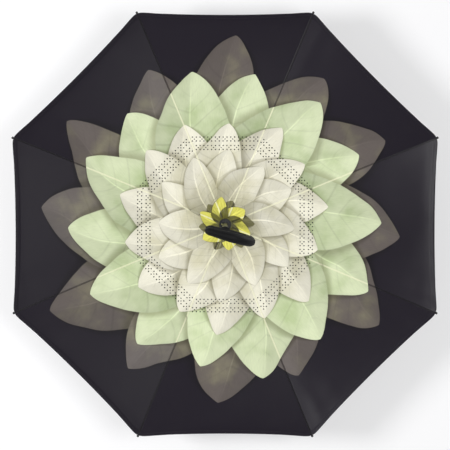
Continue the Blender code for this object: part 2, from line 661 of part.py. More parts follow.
def handle_path():
    """The C's middle line as (x, z, direction) from its upper end round its back to its lower end."""
    half_depth = HANDLE_DEPTH / 2
    top = HANDLE_HEIGHT / 2 - half_depth
    back = HANDLE_BACK_REACH - half_depth
    bend = top - HANDLE_BACK_STRAIGHT / 2
    end = -HANDLE_MOUTH_REACH + half_depth
    curl_radius = HANDLE_CURL_LENGTH / HANDLE_END_CURL
    upper = []
    for i in range(ARC_STEPS, 0, -1):
        turn = HANDLE_END_CURL * i / ARC_STEPS
        x = end + HANDLE_CURL_LENGTH - curl_radius * sin(turn)
        upper.append((x, top - curl_radius * (1 - cos(turn)), turn))
    upper.append((back - bend, top, 0.0))
    for i in range(1, HANDLE_BEND_STEPS + 1):
        turn = pi / 2 * i / HANDLE_BEND_STEPS
        upper.append((back - bend + bend * sin(turn), top - bend + bend * cos(turn), -turn))
    lower = [(x, -z, -pi - turn) for x, z, turn in reversed(upper)]
    return upper + lower


def handle_ring(x, z, turn, width_scale, depth_scale):
    """A rounded section square to the path."""
    normal = Vector((-sin(turn), 0, cos(turn)))
    side = Vector((0, 1, 0))
    ring = []
    for i in range(HANDLE_SIDES):
        angle = 2 * pi * i / HANDLE_SIDES
        c = cos(angle)
        s = sin(angle)
        power = 2 / HANDLE_ROUNDNESS
        y = abs(c) ** power * (1 if c >= 0 else -1) * width_scale
        n = abs(s) ** power * (1 if s >= 0 else -1) * depth_scale
        ring.append(Vector((x, 0, z)) + side * y + normal * n)
    return ring


def handle_rings():
    path = handle_path()
    half_depth = HANDLE_DEPTH / 2
    spread = []
    run = 0.0
    for before, here in zip(path, path[1:]):
        run += hypot(here[0] - before[0], here[1] - before[1])
        spread.append(run)
    spread = [0.0] + spread
    rings = []
    for (x, z, turn), at in zip(path, spread):
        near = between(min(at, run - at), 0, HANDLE_CURL_LENGTH * 2)
        width = (HANDLE_END_WIDTH + (HANDLE_WIDTH - HANDLE_END_WIDTH) * near) / 2
        rings.append((x, z, turn, width, half_depth))
    ends = []
    for (x, z, turn, width, depth), outward in ((rings[0], -1), (rings[-1], 1)):
        made = []
        for along, scale in END_SHARES:
            step = outward * along * half_depth
            made.append((x + step * cos(turn), z + step * sin(turn), turn, width * scale, depth * scale))
        ends.append(made)
    return list(reversed(ends[0])) + rings + ends[1]


def make_handle(finish):
    body = swept("handle", [handle_ring(*ring) for ring in handle_rings()])
    boss_foot = HANDLE_HEIGHT / 2 - HANDLE_DEPTH / 2
    boss_outline = [(0, boss_foot), (HANDLE_BOSS_RADIUS, boss_foot)]
    boss_outline += [(HANDLE_BOSS_RADIUS, HANDLE_TOP), (0, HANDLE_TOP)]
    boss = turned("boss", boss_outline, SMALL_SIDES * 2)
    bore = SHAFT_RADIUS + TOUCH_GAP
    foot = SHAFT_BOTTOM - TOUCH_GAP
    bore_outline = [(0, foot), (bore, foot), (bore, HANDLE_TOP + CUT_OVERRUN), (0, HANDLE_TOP + CUT_OVERRUN)]
    socket = turned("socket", bore_outline)
    whole = combined("handle", body, [boss], "UNION")
    mesh = combined("handle_body", whole, [socket], "DIFFERENCE")
    mesh.transform(Matrix.Rotation(HANDLE_ANGLE, 4, "Z"))
    add("handle_body", mesh, finish)


def make_collar(finish):
    foot = HANDLE_TOP + TOUCH_GAP
    top = foot + COLLAR_HEIGHT
    bore = SHAFT_RADIUS + TOUCH_GAP
    bead = foot + COLLAR_BEAD_HEIGHT
    shoulder = COLLAR_FOOT_RADIUS - COLLAR_BEAD_RISE
    profile = [(bore, foot), (COLLAR_FOOT_RADIUS, foot), (COLLAR_FOOT_RADIUS, bead)]
    profile.append((shoulder, bead + COLLAR_BEAD_RISE))
    for i in range(1, ARC_STEPS + 1):
        share = i / ARC_STEPS
        z = bead + COLLAR_BEAD_RISE + (top - bead - 2 * COLLAR_BEAD_RISE) * share
        profile.append((shoulder + (COLLAR_TOP_RADIUS - shoulder) * sin(pi / 2 * share), z))
    profile += [(COLLAR_TOP_RADIUS - COLLAR_BEAD_RISE, top), (bore, top)]
    add("handle_collar", turned("handle_collar", profile), finish)


def make_ribs(finishes):
    """Each rib's channel, rod, tip cap and strut, with the two cloth panels that it carries."""
    channel = rib_channel_mesh()
    rod = rib_rod_mesh()
    cap = tip_cap_mesh()
    strut = strut_mesh()
    lower_inner = (RUNNER_SLEEVE_RADIUS + TOUCH_GAP) / cos(HALF_PANEL_ANGLE)
    upper_inner = (SHAFT_RADIUS + TOUCH_GAP) / cos(HALF_PANEL_ANGLE)
    lower_bends = [lower_inner, HUB_CLAMP_END, LOWER_HUB_SLOPE_END, JOINT_DISTANCE, CANOPY_RADIUS]
    upper_bends = [upper_inner, CROWN_CLAMP_END, JOINT_DISTANCE, CANOPY_RADIUS]
    lower = canopy_panel_mesh("lower_canopy", lower_bends, lower_height)
    upper = canopy_panel_mesh("upper_canopy", upper_bends, upper_height)
    rib_place = Matrix.Translation(on_plane(RUNNER_PIVOT_RADIUS, RUNNER_PIVOT_HEIGHT))
    rib_place = rib_place @ Matrix.Rotation(-RIB_ANGLE, 4, "Y")
    strut_place = Matrix.Translation(on_plane(NOTCH_PIVOT_RADIUS, NOTCH_PIVOT_HEIGHT))
    strut_place = strut_place @ Matrix.Rotation(-STRUT_ANGLE, 4, "Y")
    for index in range(RIB_COUNT):
        turn = rib_turn(index)
        number = index + 1
        add(f"rib_channel_{number}", channel, finishes["painted_steel"], turn @ rib_place)
        add(f"strut_{number}", strut, finishes["painted_steel"], turn @ strut_place)
        add(f"rib_rod_{number}", rod, finishes["fibreglass"], turn)
        add(f"tip_cap_{number}", cap, finishes["plastic"], turn)
        add(f"lower_canopy_{number}", lower, finishes["printed_cloth"], turn)
        add(f"upper_canopy_{number}", upper, finishes["black_cloth"], turn)


def main():
    clear_scene()
    finishes = make_materials()
    make_shaft(finishes["painted_steel"])
    make_notch(finishes["plastic"])
    make_wire("notch_wire", NOTCH_PIVOT_RADIUS, NOTCH_PIVOT_HEIGHT, finishes["steel"])
    make_crown(finishes["plastic"])
    make_runner(finishes["plastic"])
    make_wire("runner_wire", RUNNER_PIVOT_RADIUS, RUNNER_PIVOT_HEIGHT, finishes["steel"])
    make_washer(finishes["plastic"])
    make_catch(finishes["steel"], finishes["steel"])
    make_handle(finishes["rubber"])
    make_collar(finishes["plastic"])
    make_ribs(finishes)


main()
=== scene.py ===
"""An open inverted umbrella: its cloth, finishes and stage, built around its fixed frame. Metres, +Z up.

Run as a script, it builds every piece. It also adds a panel to the 3D view's sidebar, in which each group
of pieces has a button and its sizes.
"""

import json
from math import atan2, cos, hypot, pi, radians, sin, tan

import bmesh
import bpy
import numpy as np
from bpy.props import FloatProperty, FloatVectorProperty, IntProperty
from mathutils import Matrix, Vector, noise

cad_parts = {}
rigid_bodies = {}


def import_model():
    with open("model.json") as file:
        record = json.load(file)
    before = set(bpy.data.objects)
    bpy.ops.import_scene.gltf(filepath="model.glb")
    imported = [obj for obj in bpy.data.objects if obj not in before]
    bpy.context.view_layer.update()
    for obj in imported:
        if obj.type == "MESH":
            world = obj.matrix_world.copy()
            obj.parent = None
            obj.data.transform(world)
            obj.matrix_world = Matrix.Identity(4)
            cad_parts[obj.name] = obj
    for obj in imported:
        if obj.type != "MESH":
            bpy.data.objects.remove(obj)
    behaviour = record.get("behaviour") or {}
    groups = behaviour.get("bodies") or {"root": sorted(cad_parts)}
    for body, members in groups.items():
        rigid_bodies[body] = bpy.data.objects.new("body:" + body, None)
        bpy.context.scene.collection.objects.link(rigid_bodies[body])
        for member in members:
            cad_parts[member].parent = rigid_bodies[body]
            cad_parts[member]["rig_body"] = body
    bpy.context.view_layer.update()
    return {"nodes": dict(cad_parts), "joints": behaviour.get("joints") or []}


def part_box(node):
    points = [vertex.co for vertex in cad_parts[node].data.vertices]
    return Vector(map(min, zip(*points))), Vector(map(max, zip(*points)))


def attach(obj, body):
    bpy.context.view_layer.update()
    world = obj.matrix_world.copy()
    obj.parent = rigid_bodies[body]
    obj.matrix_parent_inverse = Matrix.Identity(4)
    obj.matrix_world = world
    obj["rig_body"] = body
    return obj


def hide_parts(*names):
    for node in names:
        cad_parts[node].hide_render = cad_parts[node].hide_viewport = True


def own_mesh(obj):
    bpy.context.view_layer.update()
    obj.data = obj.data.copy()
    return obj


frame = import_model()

bl_info = {
    "name": "Inverted umbrella",
    "version": (1, 0, 0),
    "blender": (4, 5, 0),
    "location": "3D View > Sidebar > Umbrella",
    "description": "Builds an open inverted umbrella around its frame of ribs, rods and struts",
    "category": "Add Mesh",
}

JOINTS = {joint["name"]: joint for joint in frame["joints"]}
RIB_COUNT = sum(name.startswith("rib_hinge") for name in JOINTS)
HALF_PANEL = pi / RIB_COUNT
SIN = sin(HALF_PANEL)
COS = cos(HALF_PANEL)
TAN = tan(HALF_PANEL)
IMAGE_SIZE = 450


def pivot(name):
    """A joint's distance from the shaft and its height."""
    x, y, z = JOINTS[name]["pos_m"]
    return hypot(x, y), z


RUNNER_PIVOT = pivot("rib_hinge_1")
ROD_PIVOT = pivot("rod_flex_1")
NOTCH_PIVOT = pivot("strut_hinge_1")
FIRST_RIB = atan2(*reversed(JOINTS["rib_hinge_1"]["pos_m"][:2]))
RIB_ANGLE = atan2(ROD_PIVOT[1] - RUNNER_PIVOT[1], ROD_PIVOT[0] - RUNNER_PIVOT[0])
STRUT_ANGLE = atan2(ROD_PIVOT[1] - NOTCH_PIVOT[1], ROD_PIVOT[0] - NOTCH_PIVOT[0])
ROD_TURN = radians(JOINTS["rod_flex_1"]["range_deg"][1])
CROWN_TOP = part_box("crown_cap")[1].z
HANDLE_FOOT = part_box("handle_body")[0].z
SHAFT_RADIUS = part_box("shaft")[1].x

# Gap between two parts that lie on each other or slide into each other
CLEARANCE = 0.0003
# Points of a hard part that lie this close are one point
MERGE_DISTANCE = 1e-6


def length(name, description, default):
    return FloatProperty(
        name=name, description=description, default=default, min=0, precision=5, unit="LENGTH"
    )


def angle(name, description, degrees):
    return FloatProperty(name=name, description=description, default=radians(degrees), subtype="ANGLE")


def colour(name, description, default):
    return FloatVectorProperty(
        name=name, description=description, default=default, size=3, min=0, max=1, subtype="COLOR"
    )


class UmbrellaCloth(bpy.types.PropertyGroup):
    """Sizes of the two layers of cloth."""

    radius: length("Radius", "From the shaft to each tip", 0.535)
    hem_bow: length("Hem bow", "How far the black layer's hem bows in between two tips", 0.0055)
    print_bow: length("Print bow", "How far the printed layer's hem bows in", 0.0085)
    corner_cut: length("Corner cut", "How far each corner stays in from the end of its tip cap", 0.0045)
    sag: length("Sag", "How far a panel sags in its middle", 0.007)
    thickness: length("Thickness", "Thickness of the cloth", 0.0005)
    step: length("Grid step", "Spacing of the mesh", 0.0052)
    hem_width: length("Hem width", "Width of the folded hem", 0.008)
    hem_rise: length("Hem rise", "How far the folded hem stands proud", 0.0004)
    seam_width: length("Seam width", "Width of the felled seam along each rib", 0.0042)
    seam_rise: length("Seam rise", "How far the printed layer's seam stands proud", 0.0010)
    black_seam_rise: length("Black seam rise", "How far the black layer's seam stands proud", 0.0006)
    rod_start: angle("Rod start", "Slope of the rod at its rib", -3)
    rod_end: angle("Rod end", "Slope of the rod at its tip", -23)
    lower_drop: length("Lower drop", "From the rib's middle down to the printed layer", 0.0033)
    tip_drop: length("Tip drop", "The same at the tip", 0.004)
    joint_rise: length("Joint rise", "From the rib's outer joint up to the black layer", 0.0122)
    rod_rise: length("Rod rise", "From the rod's middle up to the black layer", 0.0026)
    tip_rise: length("Tip rise", "The same at the tip", 0.004)
    settle: length("Settle length", "Length over which the black layer comes down to the rod", 0.135)
    parting: length("Parting", "From the shaft to where the black layer parts when it folds", 0.06)
    cap_length: length("Cap length", "Length of a tip cap", 0.0155)
    hub_slope_end: length("Hub slope end", "Where the printed layer reaches the ribs", 0.026)
    pucker: length("Pucker", "Height of the fine folds by the hub and the tips", 0.0006)
    ripple: length("Ripple", "Height of the slow waves in each panel", 0.0011)
    crease: length("Crease", "Height of the taut lines between the ties at the ribs", 0.0012)
    tie: length("Tie", "From the shaft to each tie", 0.115)
    fold_lap: length("Fold lap", "How far a half panel runs on behind its neighbour", 0.03)
    hub_radius: length("Hub radius", "From the shaft to where the printed layer leaves the runner", 0.0175)


class UmbrellaStitches(bpy.types.PropertyGroup):
    """Sizes of the stitching."""

    pitch: length("Pitch", "From one stitch to the next", 0.0034)
    stitch: length("Stitch length", "Length of the thread that shows", 0.0026)
    thread: length("Thread radius", "Radius of the thread", 0.0002)
    seam_offset: length("Seam offset", "From the rib to each row of the seam", 0.0014)
    hem_offset: length("Hem offset", "From the hem's edge to its row", 0.0066)


class UmbrellaVents(bpy.types.PropertyGroup):
    """Sizes of the two rows of vent holes in each printed panel."""

    outer_distance: length("Outer row", "From the shaft to the outer row", 0.2038)
    inner_distance: length("Inner row", "From the shaft to the inner row", 0.1838)
    outer_count: IntProperty(name="Outer count", description="Groups in the outer row", default=9, min=1)
    inner_count: IntProperty(name="Inner count", description="Groups in the inner row", default=8, min=1)
    pitch: length("Pitch", "From one group of holes to the next", 0.0183)
    spread: length("Spread", "From corner hole to corner hole in a group", 0.0092)
    corner_radius: length("Corner hole", "Radius of a corner hole", 0.0016)
    centre_radius: length("Centre hole", "Radius of a centre hole", 0.0014)


class UmbrellaColours(bpy.types.PropertyGroup):
    """Colours of the print and of the finishes."""

    ground: colour("Ground", "Ground of the print", (0.0082, 0.0058, 0.0118))
    ghost: colour("Shadow leaf", "The outer, muted leaves", (0.270, 0.250, 0.165))
    ghost_tip: colour("Shadow leaf tip", "Where the outer leaves fade", (0.125, 0.106, 0.100))
    green: colour("Green leaf", "The middle leaves", (0.455, 0.560, 0.290))
    green_tip: colour("Green leaf tip", "Their tips", (0.640, 0.705, 0.480))
    cream: colour("Cream leaf", "The inner leaves", (0.620, 0.590, 0.410))
    cream_tip: colour("Cream leaf tip", "Their tips", (0.790, 0.765, 0.655))
    heart: colour("Heart", "The yellow leaves in the middle", (0.690, 0.660, 0.130))
    olive: colour("Olive", "The dark leaves in the middle", (0.105, 0.100, 0.018))
    seam: colour("Seam", "Light that the seams catch on pale cloth", (0.900, 0.890, 0.640))
    black_cloth: colour("Black cloth", "The outer layer", (0.0115, 0.0102, 0.0132))
    plastic: colour("Plastic", "Moulded parts", (0.0070, 0.0070, 0.0078))
    rubber: colour("Rubber", "The soft handle", (0.0042, 0.0042, 0.0048))
    paint: colour("Paint", "Painted steel", (0.0090, 0.0090, 0.0100))
    steel: colour("Steel", "Bright steel", (0.55, 0.56, 0.58))


class UmbrellaHandle(bpy.types.PropertyGroup):
    """Sizes of the C handle and its collar."""

    turn: angle("Turn", "Turn of the handle round the shaft", 15.4)
    height: length("Height", "Height of the C", 0.125)
    back_reach: length("Back reach", "From the shaft to the back", 0.062)
    mouth_reach: length("Mouth reach", "From the shaft to the ends", 0.039)
    depth: length("Depth", "Depth of the bar", 0.024)
    width: length("Width", "Width of the bar", 0.020)
    end_width: length("End width", "Width of the bar at its ends", 0.016)
    back_straight: length("Back straight", "Straight length of the back", 0.009)
    curl: angle("Curl", "How far each end curls", 10)
    curl_length: length("Curl length", "Length of each curl", 0.020)
    groove: length("Groove", "Depth of the parting line and of the end lines", 0.00035)
    boss_radius: length("Boss radius", "Radius of the boss under the collar", 0.0115)
    boss_rise: length("Boss rise", "How far the boss stands up", 0.0025)


class UmbrellaStage(bpy.types.PropertyGroup):
    """Places of the camera and the lights."""

    camera: FloatVectorProperty(
        name="Camera", description="Where the camera stands", default=(0.006, -0.102, -2.34), unit="LENGTH"
    )
    target: FloatVectorProperty(
        name="Target", description="What the camera looks at", default=(0, -0.0016, 0.456), unit="LENGTH"
    )
    focal_pixels: FloatProperty(
        name="Focal length", description="Focal length in pixels of the picture", default=1202
    )
    backdrop_gap: length("Backdrop gap", "From the crown to the backdrop", 0.03)


def settings(name):
    return getattr(bpy.context.scene, "umbrella_" + name)


# Helpers for meshes and objects


def rib_turn(index):
    return FIRST_RIB + 2 * HALF_PANEL * index


def between(value, low, high):
    """How far the value lies from low to high, from 0 to 1."""
    return np.clip((value - low) / (high - low), 0, 1)


def smooth(share):
    return share * share * (3 - 2 * share)


def mesh_from(name, points, faces):
    mesh = bpy.data.meshes.new(name)
    mesh.from_pydata([tuple(p) for p in points], [], faces)
    return mesh


def tidied(mesh, merge=MERGE_DISTANCE):
    """Merges doubled points and turns the faces outwards."""
    work = bmesh.new()
    work.from_mesh(mesh)
    bmesh.ops.remove_doubles(work, verts=work.verts, dist=merge)
    bmesh.ops.recalc_face_normals(work, faces=work.faces)
    work.to_mesh(mesh)
    work.free()
    return mesh


def linked(name, data):
    """A new object in the scene."""
    obj = bpy.data.objects.new(name, data)
    bpy.context.scene.collection.objects.link(obj)
    return obj


def placed(name, mesh, finish, body, slot, sharp=35):
    """A finished piece at the origin, which rides on its body."""
    mesh.materials.clear()
    mesh.materials.append(make_finishes()[finish])
    mesh.shade_smooth()
    mesh.set_sharp_from_angle(angle=radians(sharp))
    obj = linked(name, mesh)
    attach(obj, body)
    return obj


def evaluated_mesh(obj):
    """The object's mesh with its modifiers, after which the object is removed."""
    graph = bpy.context.evaluated_depsgraph_get()
    mesh = bpy.data.meshes.new_from_object(obj.evaluated_get(graph))
    bpy.data.objects.remove(obj, do_unlink=True)
    return mesh


def through_tree(mesh, tree, values):
    """The mesh as the Geometry Nodes tree changes it, with the tree's inputs set by name."""
    obj = linked("work", mesh)
    change = obj.modifiers.new("work", "NODES")
    change.node_group = tree
    for item in tree.interface.items_tree:
        if item.item_type == "SOCKET" and item.name in values:
            change[item.identifier] = values[item.name]
    return evaluated_mesh(obj)


def combined(mesh, other, operation):
    """The mesh joined with the other, or cut by it."""
    obj = linked("work", mesh)
    helper = linked("helper", other)
    change = obj.modifiers.new("change", "BOOLEAN")
    change.operation = operation
    change.object = helper
    made = evaluated_mesh(obj)
    bpy.data.objects.remove(helper, do_unlink=True)
    return made


def points_of(mesh):
    points = np.empty(len(mesh.vertices) * 3)
    mesh.vertices.foreach_get("co", points)
    return points.reshape(-1, 3)


def set_points(mesh, points):
    mesh.vertices.foreach_set("co", np.asarray(points, np.float32).ravel())
    mesh.update()


def turned_points(points, turn):
    """Points of a rib's own frame, turned to the rib."""
    x, y, z = points.T
    return np.column_stack((x * cos(turn) - y * sin(turn), x * sin(turn) + y * cos(turn), z))


def add_uv(mesh, name, u, v):
    layer = mesh.uv_layers.new(name=name)
    corners = np.empty(len(mesh.loops), np.int32)
    mesh.loops.foreach_get("vertex_index", corners)
    layer.data.foreach_set("uv", np.column_stack((u[corners], v[corners])).astype(np.float32).ravel())


def map_cloth(mesh, panel_turn):
    """UV maps in metres: the place in the canopy seen from above, and the place along the panel's threads."""
    x, y, _ = points_of(mesh).T
    add_uv(mesh, "plan", x, y)
    along = x * cos(panel_turn) + y * sin(panel_turn)
    across = y * cos(panel_turn) - x * sin(panel_turn)
    add_uv(mesh, "threads", along, across)


def turned_shape(profile, sides):
    """A closed outline of (radius, height) points turned about Z. Its ends may lie on the axis."""
    count = len(profile)
    points = []
    for step in range(sides):
        turn = 2 * pi * step / sides
        points += [(r * cos(turn), r * sin(turn), z) for r, z in profile]
    faces = []
    for step in range(sides):
        after = (step + 1) % sides
        for i in range(count):
            k = (i + 1) % count
            if profile[i][0] == 0 and profile[k][0] == 0:
                continue
            faces.append([step * count + i, step * count + k, after * count + k, after * count + i])
    return tidied(mesh_from("turned", points, faces))


def swept(rings, closed_ends=True):
    """A skin through rings of equal point counts."""
    count = len(rings[0])
    points = [p for ring in rings for p in ring]
    faces = []
    if closed_ends:
        faces = [list(range(count)), list(range(len(points) - count, len(points)))]
    for i in range(len(rings) - 1):
        for j in range(count):
            k = (j + 1) % count
            faces.append([i * count + j, i * count + k, (i + 1) * count + k, (i + 1) * count + j])
    return tidied(mesh_from("swept", points, faces))


def rounded(corners, radius, steps=4):
    """An open outline of (radius, height) corners, with each inner corner rounded."""
    made = [corners[0]]
    for before, corner, after in zip(corners, corners[1:], corners[2:]):
        first = Vector(before) - Vector(corner)
        last = Vector(after) - Vector(corner)
        cut = min(radius, first.length / 2, last.length / 2)
        start = Vector(corner) + first.normalized() * cut
        end = Vector(corner) + last.normalized() * cut
        for i in range(steps + 1):
            share = i / steps
            point = start * (1 - share) ** 2 + Vector(corner) * (2 * share * (1 - share)) + end * share**2
            made.append(tuple(point))
    return made + [corners[-1]]


# Helpers for node trees


class Nodes:
    """Adds nodes to a tree. An input that is given a socket is linked, and any other value is set."""

    def __init__(self, tree):
        self.tree = tree

    def add(self, kind, inputs=(), **options):
        node = self.tree.nodes.new(kind)
        for name, value in options.items():
            setattr(node, name, value)
        for key, value in dict(inputs).items():
            if isinstance(value, bpy.types.NodeSocket):
                self.tree.links.new(value, node.inputs[key])
            else:
                node.inputs[key].default_value = value
        return node

    def link(self, source, target):
        self.tree.links.new(source, target)

    def math(self, operation, *values, clamp=False):
        return self.add("ShaderNodeMath", enumerate(values), operation=operation, use_clamp=clamp).outputs[0]

    def span(self, value, low, high, start=0.0, end=1.0, soft=False):
        """The value from low to high, brought to run from start to end."""
        places = {"Value": value, "From Min": low, "From Max": high, "To Min": start, "To Max": end}
        kind = "SMOOTHSTEP" if soft else "LINEAR"
        return self.add("ShaderNodeMapRange", places, interpolation_type=kind).outputs["Result"]

    def mix(self, share, first, second, kind="MIX"):
        places = {0: share, 6: first, 7: second}
        return self.add("ShaderNodeMix", places, data_type="RGBA", blend_type=kind).outputs[2]

    def noise(self, place, scale, detail=2.0, roughness=0.5):
        places = {"Vector": place, "Scale": scale, "Detail": detail, "Roughness": roughness}
        return self.add("ShaderNodeTexNoise", places).outputs["Fac"]

    def split(self, vector):
        return self.add("ShaderNodeSeparateXYZ", {0: vector}).outputs

    def join(self, x, y, z=0.0):
        return self.add("ShaderNodeCombineXYZ", {0: x, 1: y, 2: z}).outputs[0]

    def stretched(self, place, scale):
        return self.add("ShaderNodeMapping", {"Vector": place, "Scale": scale}).outputs[0]

    def on_object(self):
        return self.add("ShaderNodeTexCoord").outputs["Object"]

    def in_map(self, name):
        """The place in one of the cloth's UV maps, in metres."""
        return self.add("ShaderNodeUVMap", uv_map=name).outputs[0]

    def bump(self, height, strength, distance):
        places = {"Strength": strength, "Distance": distance, "Height": height}
        return self.add("ShaderNodeBump", places).outputs[0]


SOCKET_KINDS = {
    "value": "NodeSocketFloat",
    "count": "NodeSocketInt",
    "vector": "NodeSocketVector",
    "colour": "NodeSocketColor",
    "shape": "NodeSocketGeometry",
    "material": "NodeSocketMaterial",
}


def new_tree(name, kind, inputs, outputs):
    """A node group with named inputs and outputs: the tree, its input sockets and its output node."""
    tree = bpy.data.node_groups.new(name, kind)
    for label, sort in inputs.items():
        tree.interface.new_socket(label, in_out="INPUT", socket_type=SOCKET_KINDS[sort])
    for label, sort in outputs.items():
        tree.interface.new_socket(label, in_out="OUTPUT", socket_type=SOCKET_KINDS[sort])
    nodes = Nodes(tree)
    return nodes, nodes.add("NodeGroupInput").outputs, nodes.add("NodeGroupOutput").inputs


def opaque(rgb):
    return (*rgb, 1.0)


# Shader groups


def group_named(name, make):
    return bpy.data.node_groups.get(name) or make(name)


def make_leaf_ring(name):
    """A ring of painted leaves over another colour. Place is in metres from the ring's middle."""
    inputs = {"Under": "colour", "Place": "vector"}
    inputs |= {"Base": "colour", "Tip": "colour", "Opacity": "value"}
    inputs |= {key: "value" for key in ("Count", "Turn", "Inner", "Outer", "Width", "Curl", "Seed")}
    nodes, given, out = new_tree(name, "ShaderNodeTree", inputs, {"Colour": "colour"})
    math = nodes.math

    # Which leaf the place is in, and how far along it
    x, y, _ = nodes.split(given["Place"])
    far = nodes.add("ShaderNodeVectorMath", {0: given["Place"]}, operation="LENGTH").outputs["Value"]
    reach = math("SUBTRACT", given["Outer"], given["Inner"])
    along = math("DIVIDE", math("SUBTRACT", far, given["Inner"]), reach)
    bearing = math("SUBTRACT", math("ARCTAN2", y, x), given["Turn"])
    bearing = math("SUBTRACT", bearing, math("MULTIPLY", given["Curl"], along))
    pitch = math("DIVIDE", 2 * pi, given["Count"])
    cell = math("DIVIDE", bearing, pitch)
    index = math("ROUND", cell)
    key = math("MULTIPLY_ADD", math("FLOORED_MODULO", index, given["Count"]), 7.31, given["Seed"])
    chance = nodes.add("ShaderNodeTexWhiteNoise", {"W": key}, noise_dimensions="1D").outputs["Color"]
    chance = nodes.split(chance)
    along = math("DIVIDE", along, math("MULTIPLY_ADD", chance[0], -0.13, 1.0))
    within = math("MULTIPLY", math("GREATER_THAN", along, 0.0), math("LESS_THAN", along, 1.0))
    along = math("MINIMUM", math("MAXIMUM", along, 0.0), 1.0)

    # How far beside the leaf's middle, which bends a little, and how wide the leaf is there
    side = math("MULTIPLY", math("MULTIPLY", math("SUBTRACT", cell, index), pitch), far)
    bend = math("MULTIPLY", math("MULTIPLY_ADD", chance[2], 0.16, -0.08), given["Width"])
    side = math("MULTIPLY_ADD", math("SINE", math("MULTIPLY", along, pi)), bend, side)
    rounding = math("POWER", along, 0.62)
    pointing = math("POWER", math("SUBTRACT", 1.0, along), 0.78)
    wide = math("MULTIPLY", math("MULTIPLY", rounding, pointing), 2.57)
    width = math("MULTIPLY", given["Width"], math("MULTIPLY_ADD", chance[1], 0.22, 0.85))
    wide = math("MULTIPLY", wide, width)
    side_size = math("ABSOLUTE", side)
    edge = math("DIVIDE", side_size, math("MAXIMUM", wide, 0.0001))

    # The leaf, the shade that it throws on what is under it, and its paint
    inside = math("MULTIPLY", nodes.span(edge, 1.0, 0.965, soft=True), within)
    shade = math("MULTIPLY", nodes.span(edge, 1.36, 1.0, soft=True), within)
    under = nodes.mix(math("MULTIPLY", shade, 0.55), given["Under"], (0.30, 0.28, 0.20, 1), "MULTIPLY")
    wash = nodes.noise(given["Place"], 16.0, 3.0)
    blend = math("MULTIPLY_ADD", math("SUBTRACT", wash, 0.5), 1.5, along)
    paint = nodes.mix(nodes.span(blend, 0.1, 0.95, soft=True), given["Base"], given["Tip"])

    # Veins, midrib, rim and foot, which set its tone
    lit = nodes.span(side, -0.010, 0.010, 0.90, 1.06, soft=True)
    veins = math("FRACT", math("MULTIPLY_ADD", along, 8.0, math("MULTIPLY", edge, -1.3)))
    veins = nodes.span(math("ABSOLUTE", math("SUBTRACT", veins, 0.5)), 0.085, 0.01, soft=True)
    veins = math("MULTIPLY", veins, nodes.span(along, 0.98, 0.6, 0, 0.15))
    midrib = nodes.span(side_size, 0.0024, 0.0008, soft=True)
    midrib = math("MULTIPLY", midrib, nodes.span(along, 1.0, 0.5, 0, 0.35))
    rim = math("POWER", nodes.span(edge, 0.55, 1.0), 2.0)
    foot = nodes.span(along, 0.75, 0.0, 0, 0.42, soft=True)
    tone = math("SUBTRACT", math("SUBTRACT", lit, math("MULTIPLY", rim, 0.10)), foot)
    tone = math("ADD", tone, nodes.span(wash, 0.3, 0.7, -0.05, 0.05))
    tone = math("ADD", tone, math("SUBTRACT", midrib, math("MULTIPLY", veins, 0.8)))
    tone = math("ADD", tone, math("MULTIPLY_ADD", chance[0], 0.12, -0.06))
    paint = nodes.mix(1.0, paint, nodes.join(tone, tone, math("MULTIPLY", tone, 0.97)), "MULTIPLY")
    nodes.link(nodes.mix(math("MULTIPLY", inside, given["Opacity"]), under, paint), out["Colour"])
    return nodes.tree


# The print's rings of leaves, from the outer one in, each painted over the one before: colour at the foot and
# at the tip, opacity, count, turn, inner and outer radius, half width and curl
LEAF_RINGS = (
    ("ghost", "ghost_tip", 0.9, 6, 0.30, 0.130, 0.462, 0.112, 0.30),
    ("ghost", "ghost_tip", 0.9, 6, 0.85, 0.130, 0.440, 0.108, 0.30),
    ("green", "green_tip", 1.0, 7, 0.10, 0.070, 0.392, 0.102, 0.35),
    ("green", "green_tip", 1.0, 7, 0.55, 0.070, 0.372, 0.100, 0.35),
    ("cream", "cream_tip", 1.0, 7, 0.35, 0.040, 0.272, 0.074, 0.40),
    ("cream", "cream_tip", 1.0, 7, 0.80, 0.036, 0.256, 0.070, 0.40),
    ("cream", "cream_tip", 1.0, 6, 0.15, 0.020, 0.192, 0.055, 0.45),
    ("cream", "cream_tip", 1.0, 6, 0.67, 0.020, 0.172, 0.050, 0.45),
    ("olive", "olive", 0.7, 6, 0.52, 0.004, 0.070, 0.021, 0.45),
    ("heart", "heart", 1.0, 6, 0.00, 0.004, 0.068, 0.025, 0.45),
    ("olive", "olive", 0.9, 6, 0.35, 0.004, 0.047, 0.011, 0.45),
)


